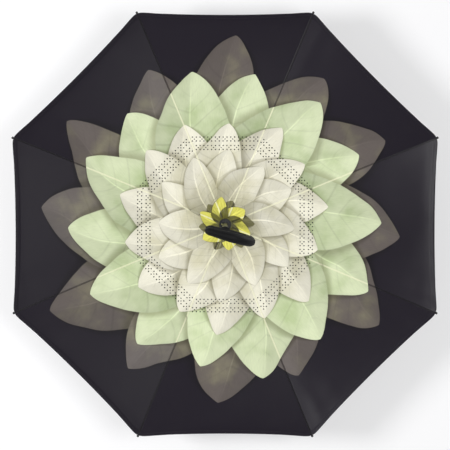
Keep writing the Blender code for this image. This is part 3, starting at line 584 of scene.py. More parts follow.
def make_print(name):
    """The printed rosette of leaves. Place is in metres from the shaft, seen from above."""
    outputs = {"Colour": "colour", "Pale": "value"}
    nodes, given, out = new_tree(name, "ShaderNodeTree", {"Place": "vector"}, outputs)
    tints = settings("colours")

    def vectors(operation, *values):
        return nodes.add("ShaderNodeVectorMath", enumerate(values), operation=operation).outputs[0]

    # The place is moved a little, so that no leaf is quite like another, and kept flat
    drift = {"Vector": given["Place"], "Scale": 7.0, "Detail": 1.5}
    drift = nodes.add("ShaderNodeTexNoise", drift).outputs["Color"]
    drift = vectors("MULTIPLY", vectors("ADD", drift, (-0.5, -0.5, -0.5)), (0.030, 0.030, 0))
    place = vectors("MULTIPLY", vectors("ADD", given["Place"], drift), (1, 1, 0))
    leaf_ring = group_named("Leaf ring", make_leaf_ring)
    shown = opaque(tints.ground)
    for base, tip, opacity, count, turn, inner, outer, width, curl in LEAF_RINGS:
        inputs = {"Under": shown, "Place": place, "Opacity": opacity, "Seed": 31.7 * turn + count}
        inputs |= {"Base": opaque(getattr(tints, base)), "Tip": opaque(getattr(tints, tip))}
        inputs |= {"Count": count, "Turn": turn, "Inner": inner, "Outer": outer, "Width": width, "Curl": curl}
        shown = nodes.add("ShaderNodeGroup", inputs, node_tree=leaf_ring).outputs[0]
    nodes.link(shown, out["Colour"])
    light = nodes.add("ShaderNodeRGBToBW", {0: shown}).outputs[0]
    nodes.link(nodes.span(light, 0.22, 0.46, soft=True), out["Pale"])
    return nodes.tree


def make_weave(name):
    """A plain weave. Place is in metres along the threads. Height is for a bump, and Tone for colour."""
    inputs = {"Place": "vector", "Pitch": "value"}
    nodes, given, out = new_tree(name, "ShaderNodeTree", inputs, {"Height": "value", "Tone": "value"})
    math = nodes.math
    x, y, _ = nodes.split(given["Place"])
    waves = [math("SINE", math("DIVIDE", math("MULTIPLY", c, pi), given["Pitch"])) for c in (x, y)]
    threads = [math("ABSOLUTE", wave) for wave in waves]
    over = math("GREATER_THAN", math("MULTIPLY", *waves), 0.0)
    height = {0: over, 2: threads[0], 3: threads[1]}
    height = nodes.add("ShaderNodeMix", height, data_type="FLOAT").outputs[0]
    slubs = nodes.noise(nodes.stretched(given["Place"], (1.0, 14.0, 1.0)), 60.0, 3.0)
    nodes.link(math("MULTIPLY_ADD", slubs, 0.4, height), out["Height"])
    nodes.link(nodes.span(slubs, 0.3, 0.7, 0.94, 1.06), out["Tone"])
    return nodes.tree


def make_wear(name):
    """Handling marks: Mask is where the finish is rubbed, Dust where it is dull, and Grain a fine texture."""
    inputs = {"Place": "vector", "Grain scale": "value", "Amount": "value"}
    outputs = {"Mask": "value", "Dust": "value", "Grain": "value"}
    nodes, given, out = new_tree(name, "ShaderNodeTree", inputs, outputs)
    patches = nodes.noise(given["Place"], 40.0, 5.0, 0.65)
    nodes.link(nodes.math("MULTIPLY", nodes.span(patches, 0.54, 0.72), given["Amount"]), out["Mask"])
    nodes.link(nodes.span(nodes.noise(given["Place"], 14.0, 4.0), 0.35, 0.7), out["Dust"])
    nodes.link(nodes.noise(given["Place"], given["Grain scale"], 2.0), out["Grain"])
    return nodes.tree


# Materials


def new_material(name, **constants):
    """A material's nodes and its Principled shader, with constants on the shader's own sockets."""
    made = bpy.data.materials.new(name)
    made.use_nodes = True
    shader = made.node_tree.nodes["Principled BSDF"]
    for key, value in constants.items():
        shader.inputs[key.replace("_", " ")].default_value = value
    return made, Nodes(made.node_tree), shader.inputs


THREAD_PITCH = 0.0005
WEAVE_DEPTH = 0.0001
# How much darker a seam is than the dark print beside it
SEAM_SHADE = (0.42, 0.40, 0.40, 1)


def add_weave(nodes, shader, strength):
    """Gives the shader the weave's bump, and returns the weave's tone."""
    inputs = {"Place": nodes.in_map("threads"), "Pitch": THREAD_PITCH}
    weave = nodes.add("ShaderNodeGroup", inputs, node_tree=group_named("Weave", make_weave)).outputs
    nodes.link(nodes.bump(weave["Height"], strength, WEAVE_DEPTH), shader["Normal"])
    return weave["Tone"]


def add_print(nodes):
    """The print's colour, and where it is pale."""
    inputs = {"Place": nodes.in_map("plan")}
    return nodes.add("ShaderNodeGroup", inputs, node_tree=group_named("Leaf print", make_print)).outputs


def printed_material(name, seam_share=0.0):
    """Printed cloth. On a seam, a share of the light that its ridge catches is mixed in on pale print."""
    made, nodes, shader = new_material(name, Sheen_Weight=0.02, Sheen_Roughness=0.45, Specular_IOR_Level=0.17)
    printed = add_print(nodes)
    tone = add_weave(nodes, shader, 0.25)
    shown = nodes.mix(1.0, printed["Colour"], nodes.join(tone, tone, tone), "MULTIPLY")
    if seam_share:
        dark = nodes.mix(1.0, shown, SEAM_SHADE, "MULTIPLY")
        pale = nodes.mix(seam_share, shown, opaque(settings("colours").seam))
        shown = nodes.mix(printed["Pale"], dark, pale)
    nodes.link(shown, shader["Base Color"])
    nodes.link(nodes.span(printed["Pale"], 0.0, 1.0, 0.30, 0.60), shader["Roughness"])
    return made


def black_cloth_material(name):
    """Plain black cloth, a little paler and duller in slow patches."""
    made, nodes, shader = new_material(name, Sheen_Weight=0.03, Sheen_Roughness=0.5, Specular_IOR_Level=0.20)
    tone = add_weave(nodes, shader, 0.3)
    tint = settings("colours").black_cloth
    shown = nodes.mix(1.0, opaque(tint), nodes.join(tone, tone, tone), "MULTIPLY")
    slow = nodes.noise(nodes.in_map("plan"), 9.0, 3.0)
    shown = nodes.mix(nodes.span(slow, 0.4, 0.75, 0.0, 0.25), shown, opaque([2 * c for c in tint]))
    nodes.link(shown, shader["Base Color"])
    nodes.link(nodes.span(slow, 0.3, 0.7, 0.44, 0.54), shader["Roughness"])
    return made


def thread_material(name, tint, seam_share):
    """Twisted thread. On pale print it takes the print's colour, with a share of the painted highlight that
    the seams catch mixed in.
    """
    made, nodes, shader = new_material(name, Sheen_Weight=0.2)
    twist = nodes.noise(nodes.on_object(), 1800.0, 1.0)
    shown = nodes.mix(nodes.span(twist, 0.35, 0.65), opaque([0.7 * c for c in tint]), opaque(tint))
    if seam_share:
        printed = add_print(nodes)
        # Painted highlight: a share of the light that the seams catch, laid over the print's colour
        pale = nodes.mix(seam_share, printed["Colour"], opaque(settings("colours").seam))
        shown = nodes.mix(printed["Pale"], shown, pale)
    nodes.link(shown, shader["Base Color"])
    nodes.link(nodes.span(twist, 0.3, 0.7, 0.5, 0.7), shader["Roughness"])
    return made


def worn_material(name, tint, worn_tint, rough, grain, bump, amount, **constants):
    """A hard or rubbery finish: rubbed in places, a little dull in others, with a fine grain."""
    made, nodes, shader = new_material(name, **constants)
    inputs = {"Place": nodes.on_object(), "Grain scale": grain, "Amount": amount}
    wear = nodes.add("ShaderNodeGroup", inputs, node_tree=group_named("Wear", make_wear)).outputs
    nodes.link(nodes.mix(wear["Mask"], opaque(tint), opaque(worn_tint)), shader["Base Color"])
    dull = nodes.span(wear["Dust"], 0.0, 1.0, *rough)
    nodes.link(nodes.math("MULTIPLY_ADD", wear["Mask"], -0.12, dull), shader["Roughness"])
    nodes.link(nodes.bump(wear["Grain"], bump, 0.0002), shader["Normal"])
    return made


def drawn_material(name, tint, rough, stretch, metallic):
    """Drawn metal or pultruded rod: fine streaks along one direction."""
    made, nodes, shader = new_material(name, Metallic=metallic)
    streaks = nodes.noise(nodes.stretched(nodes.on_object(), stretch), 300.0, 3.0)
    shown = nodes.mix(nodes.span(streaks, 0.3, 0.7), opaque([0.75 * c for c in tint]), opaque(tint))
    nodes.link(shown, shader["Base Color"])
    nodes.link(nodes.span(streaks, 0.3, 0.7, *rough), shader["Roughness"])
    nodes.link(nodes.bump(streaks, 0.15, 0.0001), shader["Normal"])
    return made


def make_finishes():
    """Every material of the umbrella, by name, made once."""
    tints = settings("colours")
    makers = {
        "printed_cloth": printed_material,
        "printed_seam": lambda name: printed_material(name, 0.55),
        "black_cloth": black_cloth_material,
        "print_thread": lambda name: thread_material(name, (0.022, 0.020, 0.024), 0.35),
        "black_thread": lambda name: thread_material(name, (0.030, 0.028, 0.033), 0.0),
        "moulded_plastic": lambda name: worn_material(
            name, tints.plastic, (0.020, 0.020, 0.022), (0.40, 0.52), 1400, 0.18, 0.5, Specular_IOR_Level=0.35
        ),
        "soft_rubber": lambda name: worn_material(
            name, tints.rubber, (0.008, 0.008, 0.009), (0.50, 0.64), 2200, 0.25, 0.6, Specular_IOR_Level=0.12
        ),
        "painted_steel": lambda name: worn_material(
            name, tints.paint, (0.050, 0.050, 0.053), (0.28, 0.40), 900, 0.12, 0.4, Coat_Weight=0.2
        ),
        "bright_steel": lambda name: drawn_material(
            name, tints.steel, (0.22, 0.36), (1.0, 1.0, 0.08), 1.0
        ),
        "fibreglass": lambda name: drawn_material(
            name, (0.018, 0.018, 0.020), (0.24, 0.34), (0.2, 0.2, 1.0), 0.0
        ),
    }
    made = {}
    for name, make in makers.items():
        full_name = "umbrella_" + name
        made[name] = bpy.data.materials.get(full_name) or make(full_name)
    return made


# The cloth's shape. In it, "along" is the distance from the shaft, measured along a rib, and "across" runs
# from 0 at a rib to 1 at the middle of the panel beside it. Layer 0 is the printed one and layer 1 the black.

# Each layer's name, its slot and finish, and the finishes of its seams and its thread
LAYERS = (
    ("lower", "printed_cloth", "printed_seam", "print_thread"),
    ("upper", "black_cloth", "black_cloth", "black_thread"),
)
# The two pieces of a half panel, and whether each is the outer one
PIECES = (("inner", False), ("outer", True))
# The half panels at the two sides of a rib
SIDES = (("right", -1), ("left", 1))
# How far the printed layer's outer piece runs in behind the inner one, in two rows
JOINT_LAP = (0.0016, 0.0002)
# Where the laps past the middle of a panel stand, in shares of the lap's length
LAP_COLUMNS = (0.004, 0.3, 1.0)
# Within this distance of the shaft the laps get shorter
LAP_TAPER = 0.092
# Over this distance a lap goes down behind its neighbour, by so many thicknesses of the cloth
LAP_EDGE = 0.00005
LAP_DEPTH = 1.15
# Over this share of a panel the hem comes out again from a cut corner
CORNER_SPREAD = 0.03
# Depths of the rows that make the hem's step and its edge
HEM_STEP = 0.0007
HEM_EDGE = 0.0009
# From the shaft to the black layer's inner edge, under the crown cap
BLACK_START = 0.0125
# The taut lines at each tie: strength, slope across the panel and width
TAUT_LINES = ((1.0, 0.0, 0.006), (0.7, -0.075, 0.006), (0.5, 0.070, 0.007))
# Half the thickness of a half panel while it is still flat
FLAT_HALF = 0.0005
# What would be left of a half panel's width if it were folded away, and how far each layer would then bulge;
# fold_away works out a fold from it, but folds nothing
FOLD_BULGE = (radians(6.4), radians(5.1))


def spot(along, across):
    """A place in a rib's own frame, from its along and across."""
    return along * (1 - across * SIN**2), along * across * SIN * COS


def rod_line(sizes, distance):
    """Slope and height of a rib's middle line, then of its rod's, by distance from the shaft."""
    joint_distance, joint_height = ROD_PIVOT
    bend = (sizes.radius - joint_distance) / (sin(sizes.rod_start) - sin(sizes.rod_end))
    out = np.maximum(distance - joint_distance, 0)
    slope = np.arcsin(sin(sizes.rod_start) - out / bend)
    rod = joint_height + bend * (np.cos(slope) - cos(sizes.rod_start))
    rib = joint_height + (distance - joint_distance) * tan(RIB_ANGLE)
    inner = distance <= joint_distance
    return np.where(inner, RIB_ANGLE, slope), np.where(inner, rib, rod)


def hub_clamp(node):
    """Where the cloth comes out from under a round clamp, measured along a rib."""
    return (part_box(node)[1].x + CLEARANCE) / COS


def tip_share(sizes, distance):
    """From 0 to 1 where the cloth comes to the tip cap."""
    return between(distance, sizes.radius - 2 * sizes.cap_length, sizes.radius - sizes.cap_length)


def lower_line(sizes, distance):
    """Height of the printed layer's middle surface over a rib."""
    slope, height = rod_line(sizes, distance)
    drop = sizes.lower_drop + (sizes.tip_drop - sizes.lower_drop) * tip_share(sizes, distance)
    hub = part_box("canopy_washer")[1].z + CLEARANCE + sizes.thickness / 2
    share = between(distance, hub_clamp("runner"), sizes.hub_slope_end)
    return hub + (height - drop / np.cos(slope) - hub) * share


def upper_line(sizes, distance):
    """Height of the black layer's middle surface over a rib."""
    joint_distance, joint_height = ROD_PIVOT
    slope, height = rod_line(sizes, distance)
    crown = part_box("top_notch")[1].z + CLEARANCE + sizes.thickness / 2
    share = between(distance, hub_clamp("crown_cap"), joint_distance)
    inner = crown + (joint_height + sizes.joint_rise - crown) * share
    left = 1 - between(distance, joint_distance, joint_distance + sizes.settle)
    rise = sizes.rod_rise + (sizes.tip_rise - sizes.rod_rise) * tip_share(sizes, distance)
    rise = rise + (sizes.joint_rise - sizes.rod_rise) * left**2
    return np.where(distance <= joint_distance, inner, height + rise / np.cos(slope))


def eased(line, sizes, distance, reach=0.014):
    """The line with its bend at the rib's outer joint rounded over."""
    spread = reach * between(distance, 0.06, 0.10) * between(sizes.radius - distance, 0.02, 0.06)
    return sum(line(sizes, distance + step * spread) for step in (-1, -0.5, 0, 0.5, 1)) / 5


def hem_reach(sizes, layer, across):
    """Where the hem lies, measured along a rib: bowed in between the tips, and cut back at them."""
    far = 1 - (1 - np.minimum(across, 1)) ** 2
    bow = (sizes.print_bow, sizes.hem_bow)[layer]
    return sizes.radius - bow / COS * far - sizes.corner_cut * np.exp(-across / CORNER_SPREAD)


def parting(sizes, layer):
    """From the shaft to where a layer parts into an inner and an outer piece, measured along a rib."""
    return (ROD_PIVOT[0], sizes.parting)[layer]


def split_reach(sizes, layer, across):
    """The same on a straight line across the rib."""
    return parting(sizes, layer) / (1 - across * SIN**2)


def puckers(sizes, along, across, place, layer):
    """Fine folds that run out from the hub and in from the tips, slow waves, and taut lines at the ties.

    All of them are nil at the ribs, and the waves at the hems too.
    """
    mask = smooth(between(across, 0.02, 0.22))
    hub = np.exp(-along / 0.055) * smooth(between(along, 0.024, 0.045))
    tips = smooth(between(along, 0.40, 0.50)) * np.exp(-across * 3.2)
    folds = (1.6 * hub + 0.8 * tips) * np.cos(2 * pi * across * (3 + layer))
    seeds = place * np.array((11.0, 11.0, 0.0)) + np.array((layer * 5.3, 0, 0))
    waves = np.array([noise.noise(Vector(p)) for p in seeds])
    hem = smooth(between(hem_reach(sizes, layer, across) - along, 0, 0.05))
    waves = waves * smooth(between(along, 0.04, 0.12)) * hem
    taut = 0
    for strength, slope, width in TAUT_LINES:
        taut = taut + strength * np.exp(-(((along - sizes.tie - slope * across) / width) ** 2))
    return mask * (sizes.pucker * folds + sizes.ripple * waves + layer_side(layer) * sizes.crease * taut)


def surface(sizes, layer, x, y, turn):
    """Height of a layer's middle surface at places of a rib's own frame, and their along and across."""
    line = (lower_line, upper_line)[layer]
    along = x + np.abs(y) * TAN
    across = 1 - np.abs(1 - np.abs(y) / (along * SIN * COS))
    far = 1 - (1 - across) ** 2
    clamp = hub_clamp("crown_cap")
    sag = sizes.sag * far * np.sin(pi * between(along, clamp, sizes.radius))
    place = turned_points(np.column_stack((x, y, 0 * x)), turn)
    height = eased(line, sizes, along) - sag + puckers(sizes, along, across, place, layer)
    return height, along, across


def pattern(sizes, layer, outer):
    """Half a panel laid flat in a rib's own frame, as a thin slab, from the rib's line to past the fold."""
    columns = round(sizes.radius * SIN / sizes.step)
    shares = [i / columns for i in range(columns + 1)]
    if layer == 0:
        shares += list(1 + np.array(LAP_COLUMNS) * sizes.fold_lap / (ROD_PIVOT[0] * SIN))
    grid = []
    for across in shares:
        held = min(across, 1)
        if outer:
            start, end = split_reach(sizes, layer, held), hem_reach(sizes, layer, held)
            rows = round((sizes.radius - parting(sizes, layer)) / sizes.step)
            hem = [sizes.hem_width, sizes.hem_width - HEM_STEP, HEM_EDGE, 0.0]
        else:
            start = (sizes.hub_radius / (1 - held * SIN**2), BLACK_START / COS)[layer]
            end = split_reach(sizes, layer, held)
            rows = round(parting(sizes, layer) / sizes.step)
            hem = [0.0]
        last = end - hem[0]
        line = [start - depth for depth in JOINT_LAP] if outer and layer == 0 else []
        line += [start + (last - start) * i / rows for i in range(rows)] + [end - depth for depth in hem]
        places = [spot(along, held) for along in line]
        if across > 1:
            lap = (across - 1) * ROD_PIVOT[0] * SIN
            steps = [lap * min(1, hypot(*place) / LAP_TAPER) for place in places]
            places = [(px - step * SIN, py + step * COS) for step, (px, py) in zip(steps, places)]
        grid.append(places)
    width = len(grid)
    height = len(grid[0])
    points = [(px, py, z) for z in (FLAT_HALF, -FLAT_HALF) for line in grid for px, py in line]
    count = width * height
    faces = []
    for i in range(width - 1):
        for j in range(height - 1):
            quad = [i * height + j, i * height + j + 1, (i + 1) * height + j + 1, (i + 1) * height + j]
            faces += [quad, [count + k for k in reversed(quad)]]
    rim = list(range(height)) + [i * height + height - 1 for i in range(1, width)]
    rim += [(width - 1) * height + j for j in range(height - 2, -1, -1)]
    rim += [i * height for i in range(width - 2, 0, -1)]
    faces += [[a, b, count + b, count + a] for a, b in zip(rim, rim[1:] + rim[:1])]
    return tidied(mesh_from("pattern", points, faces), 1e-7)


def vent_tree():
    """Cuts two rows of vent holes, in groups of five, through a sheet. Panel angle is where they are."""
    inputs = {"Sheet": "shape", "Panel angle": "value", "Pitch": "value", "Spread": "value"}
    inputs |= {"Corner radius": "value", "Centre radius": "value", "Sides": "count", "Depth": "value"}
    inputs |= {"Outer distance": "value", "Outer count": "count"}
    inputs |= {"Inner distance": "value", "Inner count": "count"}
    nodes, given, out = new_tree("Vent rows", "GeometryNodeTree", inputs, {"Sheet": "shape"})

    def punch(radius):
        sizes = {"Vertices": given["Sides"], "Radius": given[radius], "Depth": given["Depth"]}
        return nodes.add("GeometryNodeMeshCylinder", sizes).outputs["Mesh"]

    square = {"Size X": given["Spread"], "Size Y": given["Spread"], "Vertices X": 2, "Vertices Y": 2}
    corners = {"Points": nodes.add("GeometryNodeMeshGrid", square).outputs["Mesh"]}
    corners = nodes.add("GeometryNodeInstanceOnPoints", corners | {"Instance": punch("Corner radius")})
    group = nodes.add("GeometryNodeJoinGeometry")
    for shape in (corners.outputs[0], punch("Centre radius")):
        nodes.link(shape, group.inputs[0])
    group = nodes.add("GeometryNodeGeometryToInstance", {0: group.outputs[0]}).outputs[0]
    rows = nodes.add("GeometryNodeJoinGeometry")
    for row in ("Outer", "Inner"):
        count = given[row + " count"]
        half_pitch = nodes.math("MULTIPLY", given["Pitch"], -0.5)
        start = nodes.math("MULTIPLY", nodes.math("SUBTRACT", count, 1.0), half_pitch)
        places = {"Count": count, "Start Location": nodes.join(given[row + " distance"], start)}
        places["Offset"] = nodes.join(0.0, given["Pitch"])
        line = nodes.add("GeometryNodeMeshLine", places, mode="OFFSET").outputs[0]
        row = nodes.add("GeometryNodeInstanceOnPoints", {"Points": line, "Instance": group})
        nodes.link(row.outputs[0], rows.inputs[0])
    turn = nodes.join(0.0, 0.0, given["Panel angle"])
    punches = nodes.add("GeometryNodeTransform", {"Geometry": rows.outputs[0], "Rotation": turn}).outputs[0]
    punches = nodes.add("GeometryNodeRealizeInstances", {0: punches}).outputs[0]
    cut = {"Mesh 1": given["Sheet"], "Mesh 2": punches}
    cut = nodes.add("GeometryNodeMeshBoolean", cut, operation="DIFFERENCE", solver="EXACT").outputs[0]
    whole = nodes.add("GeometryNodeRealizeInstances", {0: cut}).outputs[0]
    finish = {"Geometry": whole, "Material": make_finishes()["printed_cloth"]}
    nodes.link(nodes.add("GeometryNodeSetMaterial", finish).outputs[0], out[0])
    return nodes.tree


def stitch_tree(thread):
    """Lays a row of stitches along each line of edges. The thread is named by its finish."""
    inputs = {"Lines": "shape", "Pitch": "value", "Stitch": "value", "Thread": "value"}
    nodes, given, out = new_tree("Stitches", "GeometryNodeTree", inputs, {"Stitches": "shape"})
    curve = nodes.add("GeometryNodeMeshToCurve", {0: given["Lines"]}).outputs[0]
    curve = {"Curve": curve, "Length": given["Pitch"]}
    curve = nodes.add("GeometryNodeResampleCurve", curve, mode="LENGTH").outputs[0]
    grain = {"Radius": given["Thread"], "Subdivisions": 1}
    grain = nodes.add("GeometryNodeMeshIcoSphere", grain).outputs["Mesh"]
    tangent = nodes.add("GeometryNodeInputTangent").outputs[0]
    turn = nodes.add("FunctionNodeAlignRotationToVector", {"Vector": tangent}, axis="Z").outputs[0]
    ratio = nodes.math("DIVIDE", given["Stitch"], nodes.math("MULTIPLY", given["Thread"], 2.0))
    places = {"Points": curve, "Instance": grain, "Rotation": turn, "Scale": nodes.join(1.0, 1.0, ratio)}
    row = nodes.add("GeometryNodeInstanceOnPoints", places).outputs[0]
    row = nodes.add("GeometryNodeRealizeInstances", {0: row}).outputs[0]
    finish = {"Geometry": row, "Material": make_finishes()[thread]}
    finish = nodes.add("GeometryNodeSetMaterial", finish)
    nodes.link(finish.outputs[0], out[0])
    return nodes.tree


def layer_side(layer):
    """Which way a layer's seams and hems stand proud: the print down, the black layer up."""
    return (-1, 1)[layer]


def draped(flat, sizes, layer, outer, index, side):
    """A copy of the flat half panel, lifted to the layer's surface over a rib, on one side of it."""
    mesh = flat.copy()
    x, y, up = points_of(mesh).T
    y = y * side
    if side < 0:
        mesh.flip_normals()
    turn = rib_turn(index)
    lapped = np.clip((np.abs(y) * COS - x * SIN) / LAP_EDGE, 0, 1)
    if outer and layer == 0:
        lapped = np.maximum(lapped, np.clip((ROD_PIVOT[0] - x) / JOINT_LAP[1], 0, 1))
    height, along, across = surface(sizes, layer, x, y, turn)
    hem = between(hem_reach(sizes, layer, across) - along, sizes.hem_width, sizes.hem_width - HEM_STEP)
    face = np.sign(up)
    thick = sizes.thickness / 2 + sizes.hem_rise * hem * (face == layer_side(layer))
    behind = -layer_side(layer) * lapped * LAP_DEPTH * sizes.thickness
    points = np.column_stack((x, y, height + face * thick + behind))
    set_points(mesh, turned_points(points, turn))
    map_cloth(mesh, turn + side * HALF_PANEL)
    return mesh


def fold_away(piece, sizes, layer, outer, index, side):
    """Gives the piece a mesh of its own. It works out the axis and the anchor of a fold towards its rib, but
    folds nothing.
    """
    turn = rib_turn(index)
    out = Vector((cos(turn), sin(turn), 0))
    aside = Vector((-sin(turn), cos(turn), 0)) * side
    slope = RIB_ANGLE - ROD_TURN if outer else (RIB_ANGLE, STRUT_ANGLE)[layer]
    normal = out * -sin(slope) + Vector((0, 0, cos(slope)))
    axis = aside * cos(FOLD_BULGE[layer]) + normal * sin(FOLD_BULGE[layer])
    line = (lower_line, upper_line)[layer]
    anchor = out * ROD_PIVOT[0] + Vector((0, 0, float(line(sizes, np.array(ROD_PIVOT[0])))))
    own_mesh(piece)


def cloth_body(layer, outer, number):
    """The body that carries a piece of cloth."""
    if outer:
        return f"rod_{number}"
    return (f"rib_{number}", f"strut_{number}")[layer]


def flat_size(sizes, layer, outer):
    """Size of a half panel laid flat, with its laps and what its curve takes up."""
    start = parting(sizes, layer)
    if outer:
        return sizes.radius * SIN * 1.15, (sizes.radius - start) * 1.12
    return start * SIN * 1.15, start * 1.2


def make_layer(layer):
    """Every half panel of a layer."""
    sizes = settings("cloth")
    name, slot, _, _ = LAYERS[layer]
    for part, outer in PIECES:
        flat = pattern(sizes, layer, outer)
        if layer == 0:
            flat = through_tree(flat, vent_tree(), vent_values())
        for index in range(RIB_COUNT):
            number = index + 1
            for hand, side in SIDES:
                mesh = draped(flat, sizes, layer, outer, index, side)
                body = cloth_body(layer, outer, number)
                piece = placed(f"{name}_{part}_cloth_{number}_{hand}", mesh, slot, body, slot)
                flat_is = flat_size(sizes, layer, outer)
                if outer and side > 0:
                    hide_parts(f"{name}_canopy_{number}")
                fold_away(piece, sizes, layer, outer, index, side)


# How far the ring of cloth on the runner runs in under the washer, and its steps from rib to rib
HUB_CLOTH_INSIDE = 0.005
HUB_CLOTH_STEPS = 8


def make_hub_cloth():
    """The middle of the printed layer, which the washer clamps on the runner, as one ring."""
    sizes = settings("cloth")
    half = sizes.thickness / 2
    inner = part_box("runner")[1].x - HUB_CLOTH_INSIDE
    rings = []
    for index in range(RIB_COUNT):
        turn = rib_turn(index)
        for step in range(HUB_CLOTH_STEPS):
            bearing = HALF_PANEL * (2 * step / HUB_CLOTH_STEPS - 1)
            outer = (sizes.hub_radius + JOINT_LAP[0]) / cos(bearing)
            reach = np.array([inner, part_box("canopy_washer")[1].x, outer])
            x, y = reach * cos(bearing), reach * sin(bearing)
            height, _, _ = surface(sizes, 0, x, y, turn)
            height = height + np.array([0, 0, LAP_DEPTH * sizes.thickness])
            z = np.append(height - half, height[::-1] + half)
            line = np.column_stack((np.append(x, x[::-1]), np.append(y, y[::-1]), z))
            rings.append(turned_points(line, turn))
    mesh = swept([*rings, rings[0]], closed_ends=False)
    map_cloth(mesh, 0)
    piece = placed("lower_hub_cloth", mesh, "printed_cloth", "runner", "printed_cloth")


def vent_values():
    vents = settings("vents")
    return {
        "Panel angle": HALF_PANEL,
        "Pitch": vents.pitch,
        "Spread": vents.spread,
        "Corner radius": vents.corner_radius,
        "Centre radius": vents.centre_radius,
        "Sides": 10,
        "Depth": 0.01,
        "Outer distance": vents.outer_distance,
        "Inner distance": vents.inner_distance,
        "Outer count": vents.outer_count,
        "Inner count": vents.inner_count,
    }


# Gaps between a seam and the hub and between it and the hem, and the spacing of a seam's rings
SEAM_HUB_GAP = 0.001
SEAM_HEM_GAP = 0.0006
SEAM_STEP = 0.006
# A seam's outline, in half widths and rises: steep at its folded edge and flat at the other
SEAM_OUTLINE = (
    (1, -0.3), (0.98, 0.75), (0.86, 0.97), (0.6, 1.0), (0.1, 0.9), (-0.45, 0.7), (-0.9, 0.25), (-1, -0.3)
)
# Where a seam's two rows of stitches run: the side of the rib, and the height in rises
SEAM_ROWS = ((-1, 0.6), (1, 0.98))
# Points of the line that a row of stitches follows
ROW_POINTS = 60


def seam_span(sizes, layer, outer):
    """Where a seam begins and ends, measured along a rib."""
    if outer:
        return parting(sizes, layer), sizes.radius - sizes.corner_cut - SEAM_HEM_GAP
    hub = (sizes.hub_radius, hub_clamp("crown_cap"))[layer]
    return hub + SEAM_HUB_GAP, parting(sizes, layer)


def seam_rise(sizes, layer):
    return (sizes.seam_rise, sizes.black_seam_rise)[layer]


def seam_mesh(sizes, layer, outer):
    """A felled seam: a low rounded ridge along a rib's line, in the rib's own frame."""
    start, end = seam_span(sizes, layer, outer)
    distance = np.linspace(start, end, round((end - start) / SEAM_STEP) + 1)
    height, _, _ = surface(sizes, layer, distance, 0 * distance, 0)
    proud = layer_side(layer)
    half = sizes.seam_width / 2
    rise = seam_rise(sizes, layer)
    rings = []
    for x, z in zip(distance, height):
        base = z + proud * sizes.thickness / 2
        rings.append([Vector((x, y * half, base + proud * h * rise)) for y, h in SEAM_OUTLINE])
    return swept(rings)


def line_mesh(lines):
    """Edges that join each list of points in turn."""
    mesh = bpy.data.meshes.new("lines")
    points = [tuple(p) for line in lines for p in line]
    edges = []
    start = 0
    for line in lines:
        edges += [(start + i, start + i + 1) for i in range(len(line) - 1)]
        start += len(line)
    mesh.from_pydata(points, edges, [])
    return mesh


def seam_lines(sizes, stitches, layer, outer):
    """The two rows of a seam's stitches, in the rib's own frame."""
    start, end = seam_span(sizes, layer, outer)
    x = np.linspace(start + stitches.pitch, end - stitches.pitch / 2, ROW_POINTS)
    height, _, _ = surface(sizes, layer, x, 0 * x, 0)
    proud = layer_side(layer)
    z = height + proud * sizes.thickness / 2
    rise = seam_rise(sizes, layer)
    rows = []
    for side, share in SEAM_ROWS:
        y = x * 0 + side * stitches.seam_offset
        rows.append(list(zip(x, y, z + proud * share * rise)))
    return rows


def hem_line(sizes, stitches, layer, side, turn):
    """The row of a hem's stitches on one half panel, in the rib's own frame."""
    across = np.linspace(0.015, 0.998, ROW_POINTS)
    along = hem_reach(sizes, layer, across) - stitches.hem_offset
    x, y = spot(along, across)
    y = side * y
    height, _, _ = surface(sizes, layer, x, y, turn)
    proud = layer_side(layer)
    z = height + proud * (sizes.thickness / 2 + sizes.hem_rise + 0.3 * stitches.thread)
    return list(zip(x, y, z))


def stitched(lines, tree):
    """A row of stitches along each of the lines."""
    stitches = settings("stitches")
    values = {"Pitch": stitches.pitch, "Stitch": stitches.stitch, "Thread": stitches.thread}
    return through_tree(line_mesh(lines), tree, values)


def turned_mesh(mesh, turn):
    made = mesh.copy()
    set_points(made, turned_points(points_of(made), turn))
    return made


def make_seams():
    """The felled seam along each rib in both layers, with its two rows of stitches."""
    sizes = settings("cloth")
    stitches = settings("stitches")
    for layer, (name, slot, ridge, thread) in enumerate(LAYERS):
        tree = stitch_tree(thread)
        for part, outer in PIECES:
            seam = seam_mesh(sizes, layer, outer)
            rows = stitched(seam_lines(sizes, stitches, layer, outer), tree)
            for index in range(RIB_COUNT):
                turn = rib_turn(index)
                body = cloth_body(layer, outer, index + 1)
                for label, source, finish in (("seam", seam, ridge), ("seam_stitches", rows, thread)):
                    mesh = turned_mesh(source, turn)
                    map_cloth(mesh, turn)
                    placed(f"{name}_{part}_{label}_{index + 1}", mesh, finish, body, slot)


def make_hem_stitches():
    """The row of stitches along every hem."""
    sizes = settings("cloth")
    stitches = settings("stitches")
    for layer, (name, slot, _, thread) in enumerate(LAYERS):
        tree = stitch_tree(thread)
        for index in range(RIB_COUNT):
            turn = rib_turn(index)
            for hand, side in SIDES:
                rows = stitched([hem_line(sizes, stitches, layer, side, turn)], tree)
                set_points(rows, turned_points(points_of(rows), turn))
                map_cloth(rows, turn + side * HALF_PANEL)
                label = f"{name}_hem_stitches_{index + 1}_{hand}"
                piece = placed(label, rows, thread, f"rod_{index + 1}", slot)
                fold_away(piece, sizes, layer, True, index, side)


# Hard parts


